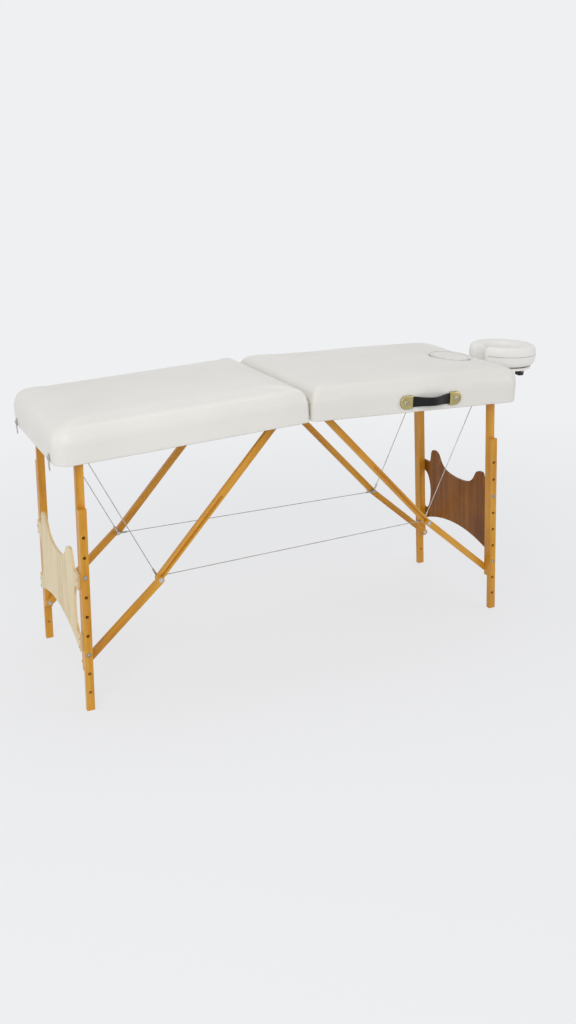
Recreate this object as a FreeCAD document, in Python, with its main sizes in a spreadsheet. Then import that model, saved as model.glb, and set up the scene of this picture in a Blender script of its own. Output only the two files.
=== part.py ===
import FreeCAD, Part
import Sketcher
import math
import os
import re

# Portable two-section massage table, millimetres, +Z up.
# The origin is on the floor below the middle hinge, +X runs to the head end, -Y is the handle side.
# Each half is drawn in a frame of its own: x from the middle hinge outward, z = 0 on the underside,
# and the leg, brace and cable frames hang from it.

SIZES = [
    # the deck
    ("half_length", 850, "from the hinge line to the end of one section"),
    ("deck_width", 640, "across the covered deck"),
    ("hinge_height", 872, "hinge line above the floor"),
    ("hinge_offset_x", 135, "hinge line behind the middle of the whole table"),
    ("hinge_offset_y", 13, "deck middle away from the handle side of the whole table"),
    ("deck_tilt", 2.2, "each section falls this many degrees towards its end"),
    ("hinge_gap", 3, "from the hinge line to the cover"),
    ("cover_thickness", 2, "upholstery skin"),
    ("rail_depth", 56, "frame rails, top to bottom"),
    ("rail_thickness", 14, "side and end rails"),
    ("middle_rail_thickness", 24, "the cross rail that carries the hinges"),
    ("board_thickness", 5, "plywood under the foam"),
    ("foam_thickness", 60, "foam pad"),
    ("end_corner", 60, "round corner at the ends of the table"),
    ("middle_corner", 16, "round corner beside the middle hinge"),
    ("top_round", 26, "rounding of the pad's upper edge"),
    # the legs
    ("leg_pivot_x", 770, "leg pivot from the hinge line"),
    ("leg_pivot_z", 29, "leg pivot above the underside"),
    ("leg_splay", 2.6, "degrees that the legs stand outward"),
    ("leg_width", 26, "along the table"),
    ("leg_thickness", 18, "across the table"),
    ("left_leg_face", 302, "outer face of the left legs from the centre line"),
    ("right_leg_face", 267, "outer face of the right legs from the centre line"),
    ("upper_leg_length", 736, "from the pivot to the end of the upper leg"),
    ("lower_leg_top", 178, "from the pivot to the top of the lower leg"),
    ("first_hole", 92, "from the top of the lower leg"),
    ("hole_pitch", 67, "height setting holes"),
    ("hole_count", 9, "in each lower leg"),
    ("setting_bolt", 8, "bolt that holds the height"),
    ("slide_gap", 0.4, "between faces that slide on each other"),
    ("pivot_bolt", 10, "leg pivot bolt"),
    ("running_gap", 0.06, "round a turning bolt"),
    # the braces
    ("brace_width", 23, "across the face of a brace"),
    ("brace_thickness", 16, "across the table"),
    ("upper_brace_x", 62, "upper brace pivot from the hinge line"),
    ("upper_brace_length", 690, "from the deck pivot to the knuckle"),
    ("upper_brace_angle", 45, "degrees below the deck"),
    ("lower_brace_foot", 716, "from the leg pivot to the lower brace pivot"),
    ("brace_bolt", 8, "brace pivot bolts"),
    ("groove_length", 339, "travel of the knuckle pin along the upper brace"),
    # the end panels, measured down the leg from its pivot
    ("panel_thickness", 9, "plywood end panel"),
    ("panel_edge", 396, "top of the panel at the legs"),
    ("panel_peak", 338, "top of the two rounded peaks"),
    ("panel_dip", 411, "bottom of the dip between the peaks"),
    ("panel_arch", 608, "top of the arch below"),
    ("panel_foot", 664, "lower tips on the legs"),
    ("panel_slot", 441, "upper end of the opening beside a leg"),
    ("panel_slot_end", 609, "lower end of that opening"),
    ("panel_slot_depth", 42, "how far the opening reaches in"),
    # the cables
    ("cable_size", 3, "steel cable"),
    ("ferrule_size", 7, "crimped cable ends"),
    ("anchor_x", 760, "deck end of the short cable from the hinge line"),
    ("anchor_z", 40, "deck end of the short cable above the underside"),
    # hinges, handle, latches
    ("hinge_place", 190, "middle hinges from the centre line"),
    ("hinge_width", 72, "length of a hinge along its pin"),
    ("hinge_barrel", 8, "outer diameter of the barrel"),
    ("hinge_pin", 4, "pin diameter"),
    ("leaf_thickness", 2, "hinge leaf"),
    ("handle_middle", 458, "middle of the handle from the hinge line"),
    ("handle_span", 200, "between the two handle plates' middles"),
    ("handle_height", 37, "middle of the handle above the underside"),
    ("handle_plate", 50, "length of a handle end plate"),
    ("strap_width", 38, "handle strap"),
    ("strap_thickness", 4, "handle strap"),
    ("strap_bow", 26, "how far the strap stands out at its middle"),
    ("latch_place", 240, "latches from the centre line"),
    # the head end
    ("face_hole_x", 745, "middle of the face hole from the hinge line"),
    ("face_hole_length", 130, "along the table"),
    ("face_hole_width", 190, "across the table"),
    ("plug_gap", 1, "round the face hole plug"),
    ("post_size", 12, "headrest posts"),
    ("post_place", 45, "headrest posts from the centre line"),
    ("post_z", 30, "headrest posts above the underside"),
    ("tilt_reach", 90, "headrest pivot beyond the deck's end"),
    ("tilt_z", 50, "headrest pivot above the underside"),
    ("headrest_reach", 142, "middle of the face cushion beyond the deck's end"),
    ("headrest_size", 264, "outer diameter of the face cushion"),
    ("headrest_hole", 114, "inner diameter of the face cushion"),
    ("headrest_thickness", 84, "face cushion"),
    ("headrest_top", 154, "top of the face cushion above the underside"),
]

doc = FreeCAD.newDocument("massage_table")
sheet = doc.addObject("Spreadsheet::Sheet", "Size")
for row, (alias, value, note) in enumerate(SIZES, 1):
    sheet.set(f"A{row}", alias)
    sheet.set(f"B{row}", str(value))
    sheet.setAlias(f"B{row}", alias)
    sheet.set(f"C{row}", note)
doc.recompute()

VALUE = {alias: value for alias, value, _ in SIZES}
HALVES = ("left", "right")
ROWS = ("front", "back")
nodes = []


def cell(text):
    """An expression whose size names point at the sheet."""
    return re.sub(r"[a-z_]+", lambda word: f"Size.{word[0]}" if word[0] in VALUE else word[0], str(text))


# placements ---------------------------------------------------------------------------------

def shift(x, y, z):
    return FreeCAD.Placement(FreeCAD.Vector(x, y, z), FreeCAD.Rotation())


def turn(degrees, axis=(0, 1, 0)):
    return FreeCAD.Placement(FreeCAD.Vector(), FreeCAD.Rotation(FreeCAD.Vector(*axis), degrees))


def outward(half):
    return 1 if half == "right" else -1


def y_sign(half, row):
    """Side of a half's own centre line on which the front or back row lies."""
    return outward(half) * (-1 if row == "front" else 1)


def half_frame(half):
    """x outward from the hinge along the underside, z up through the deck."""
    lift = shift(-VALUE["hinge_offset_x"], VALUE["hinge_offset_y"], VALUE["hinge_height"])
    return lift * turn(outward(half) * VALUE["deck_tilt"]) * turn(0 if half == "right" else 180, (0, 0, 1))


LEAN = VALUE["leg_splay"] + VALUE["deck_tilt"]
lean, droop = math.radians(LEAN), math.radians(VALUE["upper_brace_angle"])
PIVOT = (VALUE["leg_pivot_x"], VALUE["leg_pivot_z"])
DECK_PIVOT = (VALUE["upper_brace_x"], VALUE["leg_pivot_z"])
FOOT_PIVOT = (PIVOT[0] + VALUE["lower_brace_foot"] * math.sin(lean),
              PIVOT[1] - VALUE["lower_brace_foot"] * math.cos(lean))
KNUCKLE = (DECK_PIVOT[0] + VALUE["upper_brace_length"] * math.cos(droop),
           DECK_PIVOT[1] - VALUE["upper_brace_length"] * math.sin(droop))
ANCHOR = (VALUE["anchor_x"], VALUE["anchor_z"])


def pointing(half, start, end):
    """A frame at start whose x runs to end; both are (x, z) in the half's frame."""
    angle = math.degrees(math.atan2(start[1] - end[1], end[0] - start[0]))
    return half_frame(half) * shift(start[0], 0, start[1]) * turn(angle)


def distance(start, end):
    return math.hypot(end[0] - start[0], end[1] - start[1])


def leg_frame(half):
    """Origin on the leg pivot, z up the leg, x towards the end of the table."""
    return half_frame(half) * shift(PIVOT[0], 0, PIVOT[1]) * turn(-LEAN)


# solids -------------------------------------------------------------------------------------

def block(x, y, z):
    """A box; x, y and z are each a (start, length) pair of expressions."""
    box = doc.addObject("Part::Box", "Block")
    for side, way, (start, length) in zip(("Length", "Width", "Height"), "xyz", (x, y, z)):
        box.setExpression(side, cell(length))
        box.setExpression(f"Placement.Base.{way}", cell(start))
    return box


ROD_TURN = {"x": turn(90), "y": turn(-90, (1, 0, 0)), "z": turn(0)}


def rod(way, at, length, diameter):
    """A cylinder from the point at, along +x, +y or +z."""
    cylinder = doc.addObject("Part::Cylinder", "Rod")
    cylinder.Placement = ROD_TURN[way]
    cylinder.setExpression("Radius", cell(f"({diameter}) / 2"))
    cylinder.setExpression("Height", cell(length))
    for axis, start in zip("xyz", at):
        cylinder.setExpression(f"Placement.Base.{axis}", cell(start))
    return cylinder


def across(sign, inner, outer):
    """The y (start, length) of a piece between two distances from the centre line."""
    return (inner if sign > 0 else f"-({outer})", f"({outer}) - ({inner})")


def pin(sign, at, inner, outer, diameter):
    """A rod across the table at (x, z), between two distances from the centre line."""
    start, length = across(sign, inner, outer)
    return rod("y", (at[0], start, at[1]), length, diameter)


def fuse(*pieces):
    joined = doc.addObject("Part::MultiFuse", "Joined")
    joined.Shapes = list(pieces)
    return joined


def cut(base, *tools):
    result = doc.addObject("Part::Cut", "Shaped")
    result.Base = base
    result.Tool = tools[0] if len(tools) == 1 else fuse(*tools)
    return result


def node(label, frame, *pieces):
    """Place one sub-part, or a group of separate pieces, in its frame."""
    piece = doc.addObject("Part::Compound", "Piece")
    piece.Links = list(pieces)
    piece.Label = label
    piece.Placement = frame
    nodes.append(piece)
    return piece


def sketch_on(body, role):
    sketch = body.newObject("Sketcher::SketchObject", "Outline")
    plane = next(item for item in body.Origin.OriginFeatures if item.Role == role)
    sketch.AttachmentSupport = [(plane, "")]
    sketch.MapMode = "FlatFace"
    return sketch


def polygon(sketch, corners):
    """A closed outline; each corner is held by two distances from the origin."""
    count = len(corners)
    start = len(sketch.Geometry)
    rough = [FreeCAD.Vector(math.cos(2 * math.pi * i / count), math.sin(2 * math.pi * i / count), 0)
             for i in range(count)]
    for i in range(count):
        sketch.addGeometry(Part.LineSegment(rough[i], rough[(i + 1) % count]))
    for i in range(count):
        here = Sketcher.Constraint("Coincident", start + i, 2, start + (i + 1) % count, 1)
        sketch.addConstraint(here)
    for i, corner in enumerate(corners):
        for kind, value, place in zip(("DistanceX", "DistanceY"), rough[i], corner):
            number = sketch.addConstraint(Sketcher.Constraint(kind, -1, 1, start + i, 1, value))
            sketch.setExpression(f"Constraints[{number}]", cell(place))


def pad(body, sketch, length, reversed_way=False):
    solid = body.newObject("PartDesign::Pad", "Pad")
    solid.Profile = sketch
    solid.Reversed = reversed_way
    solid.setExpression("Length", cell(length))
    doc.recompute()
    return solid


def round_edges(body, base, radius, chosen):
    """Fillet the edges of the base that the test picks out."""
    edges = [f"Edge{i}" for i, edge in enumerate(base.Shape.Edges, 1) if chosen(edge.BoundBox)]
    fillet = body.newObject("PartDesign::Fillet", "Round")
    fillet.Base = (base, edges)
    fillet.setExpression("Radius", cell(radius))
    doc.recompute()
    return fillet


def deck_block(inset, bottom, height, top_radius=None, middle_round=True):
    """The deck's outline, drawn in by the inset, from bottom to bottom + height."""
    body = doc.addObject("PartDesign::Body", "Deck")
    sketch = sketch_on(body, "XY_Plane")
    near, far, side = f"hinge_gap + {inset}", f"half_length - ({inset})", f"deck_width / 2 - ({inset})"
    polygon(sketch, [(near, f"-({side})"), (far, f"-({side})"), (far, side), (near, side)])
    solid = pad(body, sketch, height)
    middle = (VALUE["hinge_gap"] + VALUE["half_length"]) / 2
    solid = round_edges(body, solid, f"end_corner - ({inset})",
                        lambda box: box.XLength < 0.01 and box.YLength < 0.01 and box.XMin > middle)
    if middle_round:
        solid = round_edges(body, solid, f"middle_corner - ({inset})",
                            lambda box: box.XLength < 0.01 and box.YLength < 0.01 and box.XMin < middle)
    if top_radius:
        top = solid.Shape.BoundBox.ZMax
        round_edges(body, solid, top_radius, lambda box: box.ZMin > top - 0.01)
    body.setExpression("Placement.Base.z", cell(bottom))
    return body


def oval(x, width, length, bottom, height):
    """An upright oval prism, its long way across the table."""
    outline = doc.addObject("Part::Ellipse", "Oval")
    outline.setExpression("MajorRadius", cell(f"({width}) / 2"))
    outline.setExpression("MinorRadius", cell(f"({length}) / 2"))
    outline.Placement = turn(90, (0, 0, 1))
    outline.setExpression("Placement.Base.x", cell(x))
    outline.setExpression("Placement.Base.z", cell(bottom))
    prism = doc.addObject("Part::Extrusion", "Prism")
    prism.Base = outline
    prism.DirMode = "Custom"
    prism.Dir = FreeCAD.Vector(0, 0, 1)
    prism.setExpression("LengthFwd", cell(height))
    prism.Solid = True
    return prism


# the deck -----------------------------------------------------------------------------------

BOARD_TOP = "rail_depth + board_thickness"
DECK_TOP = f"{BOARD_TOP} + foam_thickness + cover_thickness"
RAIL_FACE = "deck_width / 2 - cover_thickness - rail_thickness"
RAIL_END = "half_length - end_corner"
FACE_LEDGE = 8


def hinge_space(sign):
    """Room for a hinge barrel at the foot of the middle face."""
    reach = "hinge_width / 2 + 1"
    return block(("-1", "hinge_barrel / 2 + 3"), across(sign, f"hinge_place - ({reach})",
                 f"hinge_place + {reach}"), ("-1", "hinge_barrel / 2 + 3.5"))


def cover(half):
    shell = cut(deck_block("0", "0", DECK_TOP, "top_round"),
                deck_block("cover_thickness", "-1", f"{DECK_TOP} - cover_thickness + 1",
                           "top_round - cover_thickness"))
    openings = [hinge_space(1), hinge_space(-1)]
    if half == "right":
        openings.append(oval("face_hole_x", "face_hole_width", "face_hole_length", "0", "300"))
        openings += [post_hole(sign) for sign in (-1, 1)]
    node(f"{half}_cover", half_frame(half), cut(shell, *openings))


def foam(half):
    pad_block = deck_block("cover_thickness", BOARD_TOP, "foam_thickness", "top_round - cover_thickness")
    if half == "right":
        pad_block = cut(pad_block, oval("face_hole_x", "face_hole_width", "face_hole_length", "0", "300"))
    node(f"{half}_foam", half_frame(half), pad_block)


def board(half):
    sheet_block = deck_block("cover_thickness", "rail_depth", "board_thickness")
    if half == "right":
        ledge = f"2 * {FACE_LEDGE}"
        sheet_block = cut(sheet_block, oval("face_hole_x", f"face_hole_width - {ledge}",
                                            f"face_hole_length - {ledge}", "0", "300"))
    node(f"{half}_board", half_frame(half), sheet_block)


def side_rail(half, row):
    start = "hinge_gap + middle_corner"
    rail = block((start, f"{RAIL_END} - ({start})"),
                 across(y_sign(half, row), RAIL_FACE, "deck_width / 2 - cover_thickness"),
                 ("0", "rail_depth"))
    node(f"{half}_{row}_rail", half_frame(half), rail)


def post_hole(sign):
    return rod("x", (f"{RAIL_END}", f"{sign} * post_place", "post_z"), "end_corner + 10",
               "post_size + 2 * running_gap")


def end_rail(half):
    """The rail at the end, bent round both corners."""
    inner = "cover_thickness + rail_thickness"
    rail = cut(deck_block("cover_thickness", "0", "rail_depth"),
               deck_block(inner, "-1", "rail_depth + 2", middle_round=False),
               block(("-10", f"{RAIL_END} + 10"), ("-deck_width", "2 * deck_width"),
                     ("-1", "rail_depth + 2")))
    if half == "right":
        rail = cut(rail, post_hole(-1), post_hole(1))
    return rail


def middle_rail():
    """The rail beside the hinge line, with mortises for the hinge leaves."""
    rail = block(("hinge_gap + cover_thickness", "middle_rail_thickness"),
                 (f"-({RAIL_FACE})", f"2 * ({RAIL_FACE})"), ("0", "rail_depth"))
    cuts = []
    for sign in (-1, 1):
        edge = "hinge_width / 2"
        mortise = block(("0", "middle_rail_thickness + 3"),
                        across(sign, f"hinge_place - {edge}", f"hinge_place + {edge}"),
                        ("-1", "leaf_thickness + 1"))
        cuts += [hinge_space(sign), mortise]
    return cut(rail, *cuts)


def cross_rails(half):
    node(f"{half}_cross_rails", half_frame(half), end_rail(half), middle_rail())


# pivots inside the deck ---------------------------------------------------------------------

def leg_face(half):
    return f"{half}_leg_face"


def upper_outer(half):
    return f"{leg_face(half)} - leg_thickness - slide_gap"


def upper_inner(half):
    return f"{upper_outer(half)} - leg_thickness"


BRACE_GAP = 0.6
SUNK_HEAD = 4.3          # the brace pivot bolt's head lies below the brace's face


def lower_brace_outer(half):
    return f"{upper_inner(half)} - {BRACE_GAP}"


def upper_brace_outer(half):
    return f"{lower_brace_outer(half)} - brace_thickness - {BRACE_GAP}"


def upper_brace_inner(half):
    return f"{upper_brace_outer(half)} - brace_thickness"


HANGER_HALF = 18
BRACE_BLOCK_THICKNESS = 25


def pivot_blocks(half):
    """Hardwood blocks under the board: two carry the legs, two the upper braces."""
    pieces = []
    for sign in (-1, 1):
        hanger = block((f"leg_pivot_x - {HANGER_HALF}", f"2 * {HANGER_HALF}"),
                       across(sign, f"{upper_outer(half)} + slide_gap", RAIL_FACE), ("3", "rail_depth - 3"))
        bore = pin(sign, ("leg_pivot_x", "leg_pivot_z"), "0", "deck_width / 2", "pivot_bolt")
        pieces.append(cut(hanger, bore))
        inner_face = f"{upper_brace_inner(half)} - slide_gap"
        brace_block = block(("upper_brace_x - 20", "42"),
                            across(sign, f"{inner_face} - {BRACE_BLOCK_THICKNESS}", inner_face),
                            ("6", "rail_depth - 6"))
        bore = pin(sign, ("upper_brace_x", "leg_pivot_z"), "0", "deck_width / 2", "brace_bolt")
        pieces.append(cut(brace_block, bore))
    if half == "right":
        pieces.append(socket_block())
    node(f"{half}_pivot_blocks", half_frame(half), *pieces)


def socket_block():
    """Behind the right end rail, guiding the headrest posts."""
    socket = block((f"{RAIL_END} - 30", f"end_corner + 30 - cover_thickness - rail_thickness"),
                   ("-post_place - 22", "2 * post_place + 44"), ("10", "rail_depth - 10"))
    bores = [rod("x", (f"{RAIL_END} - 40", f"{sign} * post_place", "post_z"), "120",
                 "post_size + 2 * running_gap") for sign in (-1, 1)]
    return cut(socket, *bores)


def wire_ring(turned_about, at, radius, wire):
    """A closed ring of round wire; its axis is z before the quarter turn, if there is one."""
    ring = doc.addObject("Part::Torus", "Ring")
    if turned_about:
        ring.Placement = turn(90, turned_about)
    ring.Radius1, ring.Radius2 = radius, wire
    for axis, start in zip("xyz", at):
        ring.setExpression(f"Placement.Base.{axis}", cell(start))
    return ring


ANCHOR_RING = 5          # to the middle of the wire
ANCHOR_WIRE = 1.5        # half the wire's thickness
EYE_WIRE = 1
EYE_GAP = 0.3


def frame_hardware(half):
    """Leg and brace pivot bolts, the short cables' screw eyes and the fixed side of the latches."""
    pieces = []
    for sign in (-1, 1):
        pivot = ("leg_pivot_x", "leg_pivot_z")
        head_face = f"{upper_inner(half)} - 0.3"
        pieces.append(fuse(pin(sign, pivot, head_face, RAIL_FACE, "pivot_bolt"),
                           pin(sign, pivot, f"{head_face} - 5", head_face, "pivot_bolt * 1.9")))
        brace_pivot = ("upper_brace_x", "leg_pivot_z")
        head_face = f"{upper_brace_outer(half)} - {SUNK_HEAD}"
        block_face = f"{upper_brace_inner(half)} - slide_gap - {BRACE_BLOCK_THICKNESS}"
        pieces.append(fuse(pin(sign, brace_pivot, block_face, head_face, "brace_bolt"),
                           pin(sign, brace_pivot, head_face, f"{head_face} + 4", "brace_bolt * 2")))
        eye_y = f"{sign} * ({cable_line(half)})"
        ring = wire_ring((1, 0, 0), ("anchor_x", eye_y, "anchor_z"), ANCHOR_RING, ANCHOR_WIRE)
        shank = rod("z", ("anchor_x", eye_y, "anchor_z + 5"), "rail_depth - anchor_z - 5", "3")
        pieces.append(fuse(ring, shank))
        pieces.append(latch_post(half, sign))
    node(f"{half}_frame_hardware", half_frame(half), *pieces)


# middle hinges ------------------------------------------------------------------------------

KNUCKLE_GAP = 0.4


def hinge_leaves(half):
    """Two leaves; the left ones have two barrel knuckles each, the right ones a single one between."""
    pieces = []
    for sign in (-1, 1):
        low, high = "hinge_place - hinge_width / 2", "hinge_place + hinge_width / 2"
        third = "hinge_width / 3"
        inner_end, outer_start = f"{low} + {third}", f"{high} - {third}"
        plate = block(("0", "hinge_gap + cover_thickness + middle_rail_thickness - 2"),
                      across(sign, low, high), ("0", "leaf_thickness"))
        if half == "left":
            spans = [(low, f"{inner_end} - {KNUCKLE_GAP}"), (f"{outer_start} + {KNUCKLE_GAP}", high)]
            free = [(inner_end, outer_start)]
        else:
            spans = [(inner_end, outer_start)]
            free = [(f"{low} - 1", inner_end), (outer_start, f"{high} + 1")]
        room = [block(("-8", "8 + hinge_barrel / 2 + 0.6"), across(sign, f"{a} - 0.2", f"{b} + 0.2"),
                      ("-1", "leaf_thickness + 2")) for a, b in free]
        barrels = [pin(sign, ("0", "0"), a, b, "hinge_barrel") for a, b in spans]
        bore = pin(sign, ("0", "0"), "0", "deck_width / 2", "hinge_pin + 2 * running_gap")
        leaf = cut(fuse(cut(plate, *room), *barrels), bore)
        pieces.append(leaf)
    node(f"{half}_hinge_leaves", half_frame(half), *pieces)


def hinge_pins():
    pins = [pin(sign, ("0", "0"), "hinge_place - hinge_width / 2", "hinge_place + hinge_width / 2",
                "hinge_pin")
            for sign in (-1, 1)]
    node("hinge_pins", half_frame("right"), *pins)


# legs ---------------------------------------------------------------------------------------

BOLT_HOLES = (2, 6)      # the two height holes in use, counted from the top
SHORTEN_HOLES = 2        # a leg shortens by this many holes


def hole_depth(number):
    return f"lower_leg_top + first_hole + {number} * hole_pitch"


def upper_leg(half, row):
    """Rounded at the pivot, with a closed T-groove for the height bolts in its outer face."""
    sign = y_sign(half, row)
    outer, inner = upper_outer(half), upper_inner(half)
    wide = across(sign, inner, outer)
    blank = fuse(block(("-leg_width / 2", "leg_width"), wide, ("-upper_leg_length", "upper_leg_length")),
                 pin(sign, ("0", "0"), inner, outer, "leg_width"))
    top = f"{hole_depth(BOLT_HOLES[0])} - {SHORTEN_HOLES} * hole_pitch - 12"
    bottom = f"{hole_depth(BOLT_HOLES[1])} + 9"
    neck_depth, head_depth = 8, 14
    groove = [block((f"-({width}) / 2", width), across(sign, f"{outer} - {deep}", f"{outer} - {shallow}"),
                    (f"-({bottom})", f"{bottom} - ({top})"))
              for width, deep, shallow in (("setting_bolt + 0.6", neck_depth, "-1"),
                                           ("setting_bolt + 7.4", head_depth, neck_depth))]
    entry = pin(sign, ("0", f"-({top})"), f"{outer} - {head_depth}", f"{outer} + 1", "setting_bolt + 7.4")
    bores = [pin(sign, ("0", "0"), "0", "deck_width", "pivot_bolt + 2 * running_gap"),
             pin(sign, ("0", "-lower_brace_foot"), "0", "deck_width", "brace_bolt"),
             *panel_screws(half, sign, SCREW, SCREW_LENGTH)]
    node(f"{half}_{row}_upper_leg", leg_frame(half), cut(blank, *groove, entry, *bores))


FLOOR_DROP = ("(hinge_height - leg_pivot_x * sin(deck_tilt * 1 deg) + leg_pivot_z * cos(deck_tilt * 1 deg))"
              " / cos(leg_splay * 1 deg)")


def leg_reach():
    """From the pivot to the floor, down the leg."""
    tilt = math.radians(VALUE["deck_tilt"])
    drop = VALUE["hinge_height"] - PIVOT[0] * math.sin(tilt) + PIVOT[1] * math.cos(tilt)
    return drop / math.cos(math.radians(VALUE["leg_splay"]))


def lower_leg(half, row):
    """The foot slides on the outer face of the upper leg; its end is cut level with the floor."""
    sign = y_sign(half, row)
    outer, inner = leg_face(half), f"{leg_face(half)} - leg_thickness"
    blank = block(("-leg_width / 2", "leg_width"), across(sign, inner, outer),
                  (f"-({FLOOR_DROP}) - 20", f"{FLOOR_DROP} + 20 - lower_leg_top"))
    floor = doc.addObject("Part::Compound", "Floor")
    floor.Links = [block(("-leg_width", "2 * leg_width"), across(sign, "0", "deck_width"), ("-60", "60"))]
    floor.Placement = shift(0, 0, -leg_reach()) * turn(VALUE["leg_splay"])
    holes = []
    for number in range(int(VALUE["hole_count"])):
        at = ("0", f"-({hole_depth(number)})")
        holes.append(pin(sign, at, "0", "deck_width", "setting_bolt + 0.5"))
        if number in BOLT_HOLES:
            holes.append(pin(sign, at, f"{outer} - 5", "deck_width", "setting_bolt * 2"))
    node(f"{half}_{row}_lower_leg", leg_frame(half), cut(blank, floor, *holes))


def leg_bolts(half, row):
    """Two bolts whose heads ride in the T-groove, with nuts sunk in the lower leg."""
    sign = y_sign(half, row)
    outer = leg_face(half)
    head_top = f"{upper_outer(half)} - 8.5"
    pieces = []
    for number in BOLT_HOLES:
        at = ("0", f"-({hole_depth(number)})")
        pieces.append(fuse(pin(sign, at, f"{head_top} - 5", head_top, "setting_bolt + 6"),
                           pin(sign, at, head_top, f"{outer} - 5", "setting_bolt"),
                           pin(sign, at, f"{outer} - 5", f"{outer} - 0.5", "setting_bolt + 6")))
    node(f"{half}_{row}_leg_bolts", leg_frame(half), *pieces)


PEAK_PLACE = 0.66        # of the panel's half width
PANEL_SHOULDER = 18      # the panel's edge is flat for this far inside each leg


SCREW = 3.5              # shank of a panel screw
SCREW_LENGTH = 16


def end_panel(half):
    """Two rounded peaks with a dip between, an arch below and an opening beside each leg."""
    wide = VALUE[leg_face(half)] - VALUE["leg_thickness"] - VALUE["slide_gap"]
    inner = wide - VALUE["leg_thickness"]
    brace_face = inner - 2 * (BRACE_GAP + VALUE["brace_thickness"]) - PANEL_SHOULDER / 3
    edge, peak, dip = (-VALUE[f"panel_{name}"] for name in ("edge", "peak", "dip"))
    arch, foot = -VALUE["panel_arch"], -VALUE["panel_foot"]
    body = doc.addObject("PartDesign::Body", "Panel")
    sketch = sketch_on(body, "YZ_Plane")
    spot = FreeCAD.Vector
    hill = PEAK_PLACE * wide
    for side in (1, -1):
        ends = [spot(0, dip, 0), spot(side * hill, peak, 0), spot(side * brace_face, edge, 0)]
        rise = Part.BSplineCurve()
        rise.interpolate(Points=ends, Tangents=[spot(side * 90, 0, 0), spot(side * 90, 0, 0),
                                                spot(side * 30, -60, 0)], TangentFlags=[True] * 3)
        sketch.addGeometry(rise)
        sketch.addGeometry(Part.LineSegment(ends[2], spot(side * wide, edge, 0)))
        sketch.addGeometry(Part.LineSegment(spot(side * wide, edge, 0), spot(side * wide, foot, 0)))
    sketch.addGeometry(Part.Arc(spot(wide, foot, 0), spot(0, arch, 0), spot(-wide, foot, 0)))
    panel = pad(body, sketch, "panel_thickness")
    body.setExpression("Placement.Base.x", cell("leg_width / 2"))
    openings = []
    for side in (1, -1):
        outline = doc.addObject("Part::Ellipse", "Opening")
        outline.setExpression("MajorRadius", cell("(panel_slot_end - panel_slot) / 2"))
        outline.setExpression("MinorRadius", cell("panel_slot_depth"))
        outline.Placement = turn(90)
        outline.setExpression("Placement.Base.y", cell(f"{side} * ({upper_inner(half)})"))
        outline.setExpression("Placement.Base.z", cell("-(panel_slot + panel_slot_end) / 2"))
        prism = doc.addObject("Part::Extrusion", "Prism")
        prism.Base = outline
        prism.DirMode = "Custom"
        prism.Dir = spot(1, 0, 0)
        prism.setExpression("LengthFwd", cell("leg_width + 2 * panel_thickness"))
        prism.Solid = True
        openings.append(prism)
        openings += panel_screws(half, side, SCREW, SCREW_LENGTH)
    node(f"{half}_end_panel", leg_frame(half), cut(body, *openings))


def panel_screws(half, sign, shank, length):
    """The three screws of one leg: rods at the leg's middle, from the panel's face inward."""
    y = f"{sign} * ({upper_outer(half)} - leg_thickness / 2)"
    face = "leg_width / 2 + panel_thickness"
    depths = ("panel_edge + 22", "panel_slot_end + 12", "panel_foot - 14")
    return [rod("x", (f"{face} - {length}", y, f"-({depth})"), f"{length}", f"{shank}") for depth in depths]


def leg_set_screws(half):
    """Panel screws in the leg edges and the bolts of the lower braces."""
    pieces = []
    for sign in (-1, 1):
        for screw in panel_screws(half, sign, SCREW, SCREW_LENGTH):
            head = rod("x", ("leg_width / 2 + panel_thickness", "0", "0"), "1.2", "8")
            for axis in "yz":
                head.setExpression(f"Placement.Base.{axis}", f"{screw.Name}.Placement.Base.{axis}")
            pieces.append(fuse(screw, head))
        at = ("0", "-lower_brace_foot")
        inner = f"{lower_brace_outer(half)} - brace_thickness"
        pieces.append(fuse(pin(sign, at, f"{inner} + 4", upper_outer(half), "brace_bolt"),
                           pin(sign, at, f"{inner} + 0.3", f"{inner} + 4.2", "brace_bolt * 2 - 1")))
    node(f"{half}_leg_set_screws", leg_frame(half), *pieces)


# braces -------------------------------------------------------------------------------------

def link(sign, length, inner, outer):
    """A bar with round ends, pivots at x = 0 and x = length."""
    return fuse(block(("0", length), across(sign, inner, outer), ("-brace_width / 2", "brace_width")),
                pin(sign, ("0", "0"), inner, outer, "brace_width"),
                pin(sign, (length, "0"), inner, outer, "brace_width"))


def upper_brace(half, row):
    """A groove in the face beside the lower brace guides the knuckle as the brace folds."""
    sign = y_sign(half, row)
    outer, inner = upper_brace_outer(half), upper_brace_inner(half)
    length = "upper_brace_length"
    groove = [block((f"{length} - groove_length", "groove_length"),
                    across(sign, f"{outer} - 5", f"{outer} + 1"), ("-brace_bolt / 2", "brace_bolt"))]
    groove += [pin(sign, (place, "0"), f"{outer} - 5", f"{outer} + 1", "brace_bolt")
               for place in (length, f"{length} - groove_length")]
    bores = [pin(sign, ("0", "0"), "0", "deck_width", "brace_bolt + 2 * running_gap"),
             pin(sign, ("0", "0"), f"{outer} - {SUNK_HEAD} - 0.3", f"{outer} + 1", "brace_bolt * 2 + 1"),
             pin(sign, (length, "0"), "0", "deck_width", "brace_bolt")]
    node(f"{half}_{row}_upper_brace", pointing(half, DECK_PIVOT, KNUCKLE),
         cut(link(sign, length, inner, outer), *groove, *bores))


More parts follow.
